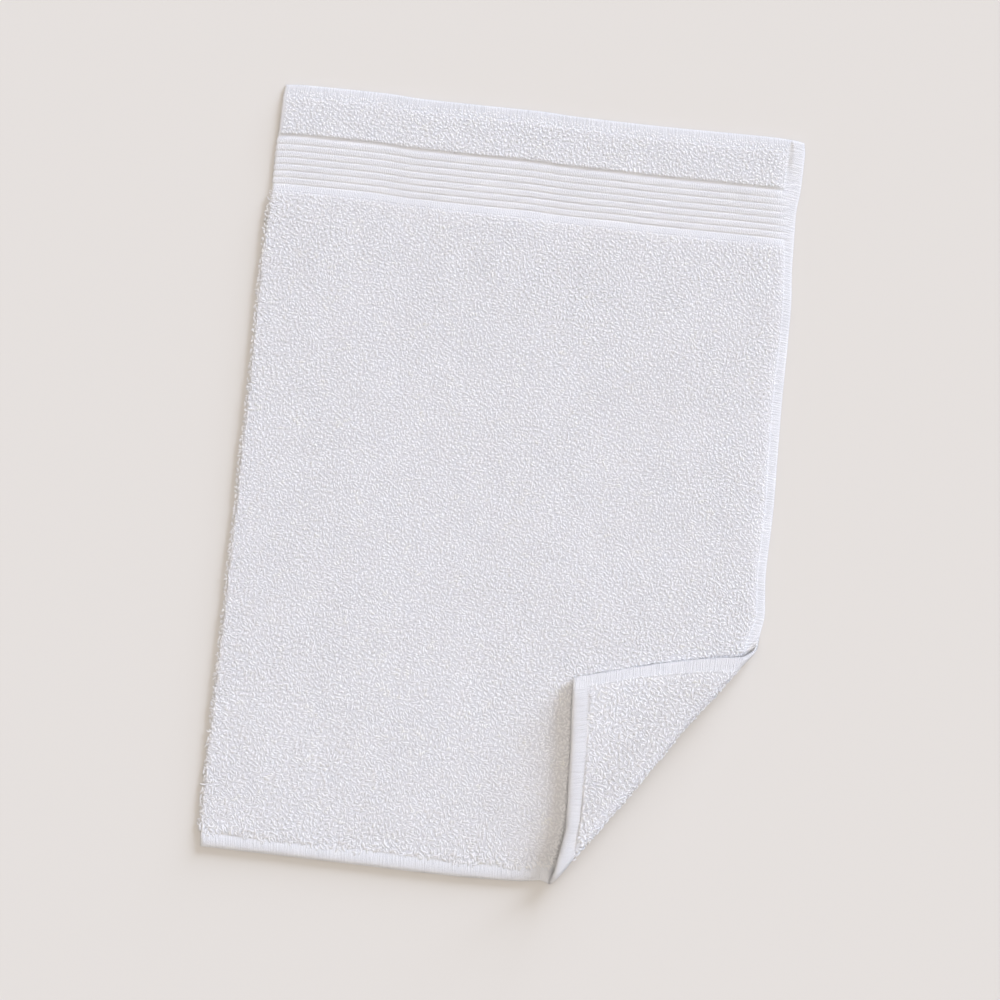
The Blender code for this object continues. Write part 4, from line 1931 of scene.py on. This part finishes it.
CORNER_COURSES = (
    Course((3.6 * MM, 7.0 * MM), 0.9 * MM, 1.65 * MM, 0.0, 2_200_000,
           curl=(1.4, 5.0), ragged=1.1 * MM),
    Course((2.2 * MM, 4.0 * MM), 0.92 * MM, 1.5 * MM, 0.0, 1_500_000,
           bands=4, shared=True),
    Course((3.4 * MM, 6.0 * MM), 1.25 * MM, 1.8 * MM, 0.35 * MM, 1_200_000,
           bands=4, least_full=0.5))
# Single rows of full loops: over the plain end's hem, and along the header's lower edge.
FRINGE_COURSES = (
    Course((4.4 * MM, 7.6 * MM), 1.12 * MM, 2.3 * MM, -0.5 * MM, 1_800_000,
           curl=(1.6, 4.8)),)
BEAD_COURSES = (
    Course((2.4 * MM, 3.4 * MM), 1.2 * MM, 1.95 * MM, -0.4 * MM, 5_000_000,
           curl=(0.4, 2.0)),)


def pile_zones(cloth: Cloth) -> list[Pile]:
    """List the zones of loops.

    Args:
        cloth: The flat cloth.

    Returns:
        The zones, in the order in which they are made.
    """
    half, top = cloth.width / 2, cloth.length / 2
    across = (-half - 2 * MM, half)
    groove = top - cloth.header_end
    hem = top - cloth.field_end
    return [
        Pile("header_pile", Face.UPPER, across, (groove + 2.8 * MM, top), HEADER_COURSES,
             SEED + 10, tone=0.13),
        Pile("bead_pile", Face.UPPER, across, (groove + 0.8 * MM, groove + 2.6 * MM),
             BEAD_COURSES, SEED + 12),
        Pile("field_pile", Face.UPPER, across, (hem - 5 * MM, top - cloth.field_start),
             FIELD_COURSES, SEED + 11, pieces=5),
        Pile("fringe_pile", Face.UPPER, across, (hem - 5 * MM, hem + 8 * MM),
             FRINGE_COURSES, SEED + 13),
        Pile("corner_pile", Face.LOWER, (half - 290 * MM, half),
             (-top, -top + 290 * MM), CORNER_COURSES, SEED + 30, tone=0.2)]


def add_piece(name: str, mesh: bpy.types.Mesh) -> bpy.types.Object:
    """Put a mesh in the scene as a piece.

    Args:
        name: Name of the piece.
        mesh: The mesh.

    Returns:
        The piece.
    """
    piece = bpy.data.objects.new(name, mesh)
    bpy.context.collection.objects.link(piece)
    return piece


def main() -> None:
    """Build the ground cloth and its loops, then the studio round them."""
    logging.basicConfig(level=logging.INFO, format="%(name)s: %(message)s")
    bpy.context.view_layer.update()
    cloth = Cloth()
    lay = Lay(cloth)
    maker = PileMaker(lay)
    yarn = PileYarn()
    loops = []
    for pile in pile_zones(cloth):
        for mesh in maker.meshes(pile):
            piece = add_piece(mesh.name, mesh)
            piece.data.materials.append(yarn.material())
            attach(piece, BODY)
            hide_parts(NODE)
            loops.append(piece)
    ground = Ground(lay)
    sheet = ground.build(WovenCotton())
    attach(sheet, BODY)
    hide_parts(NODE)
    Studio().build([*loops, sheet], sheet)
    bpy.context.scene.view_settings.view_transform = "Standard"


if __name__ == "__main__":
    main()
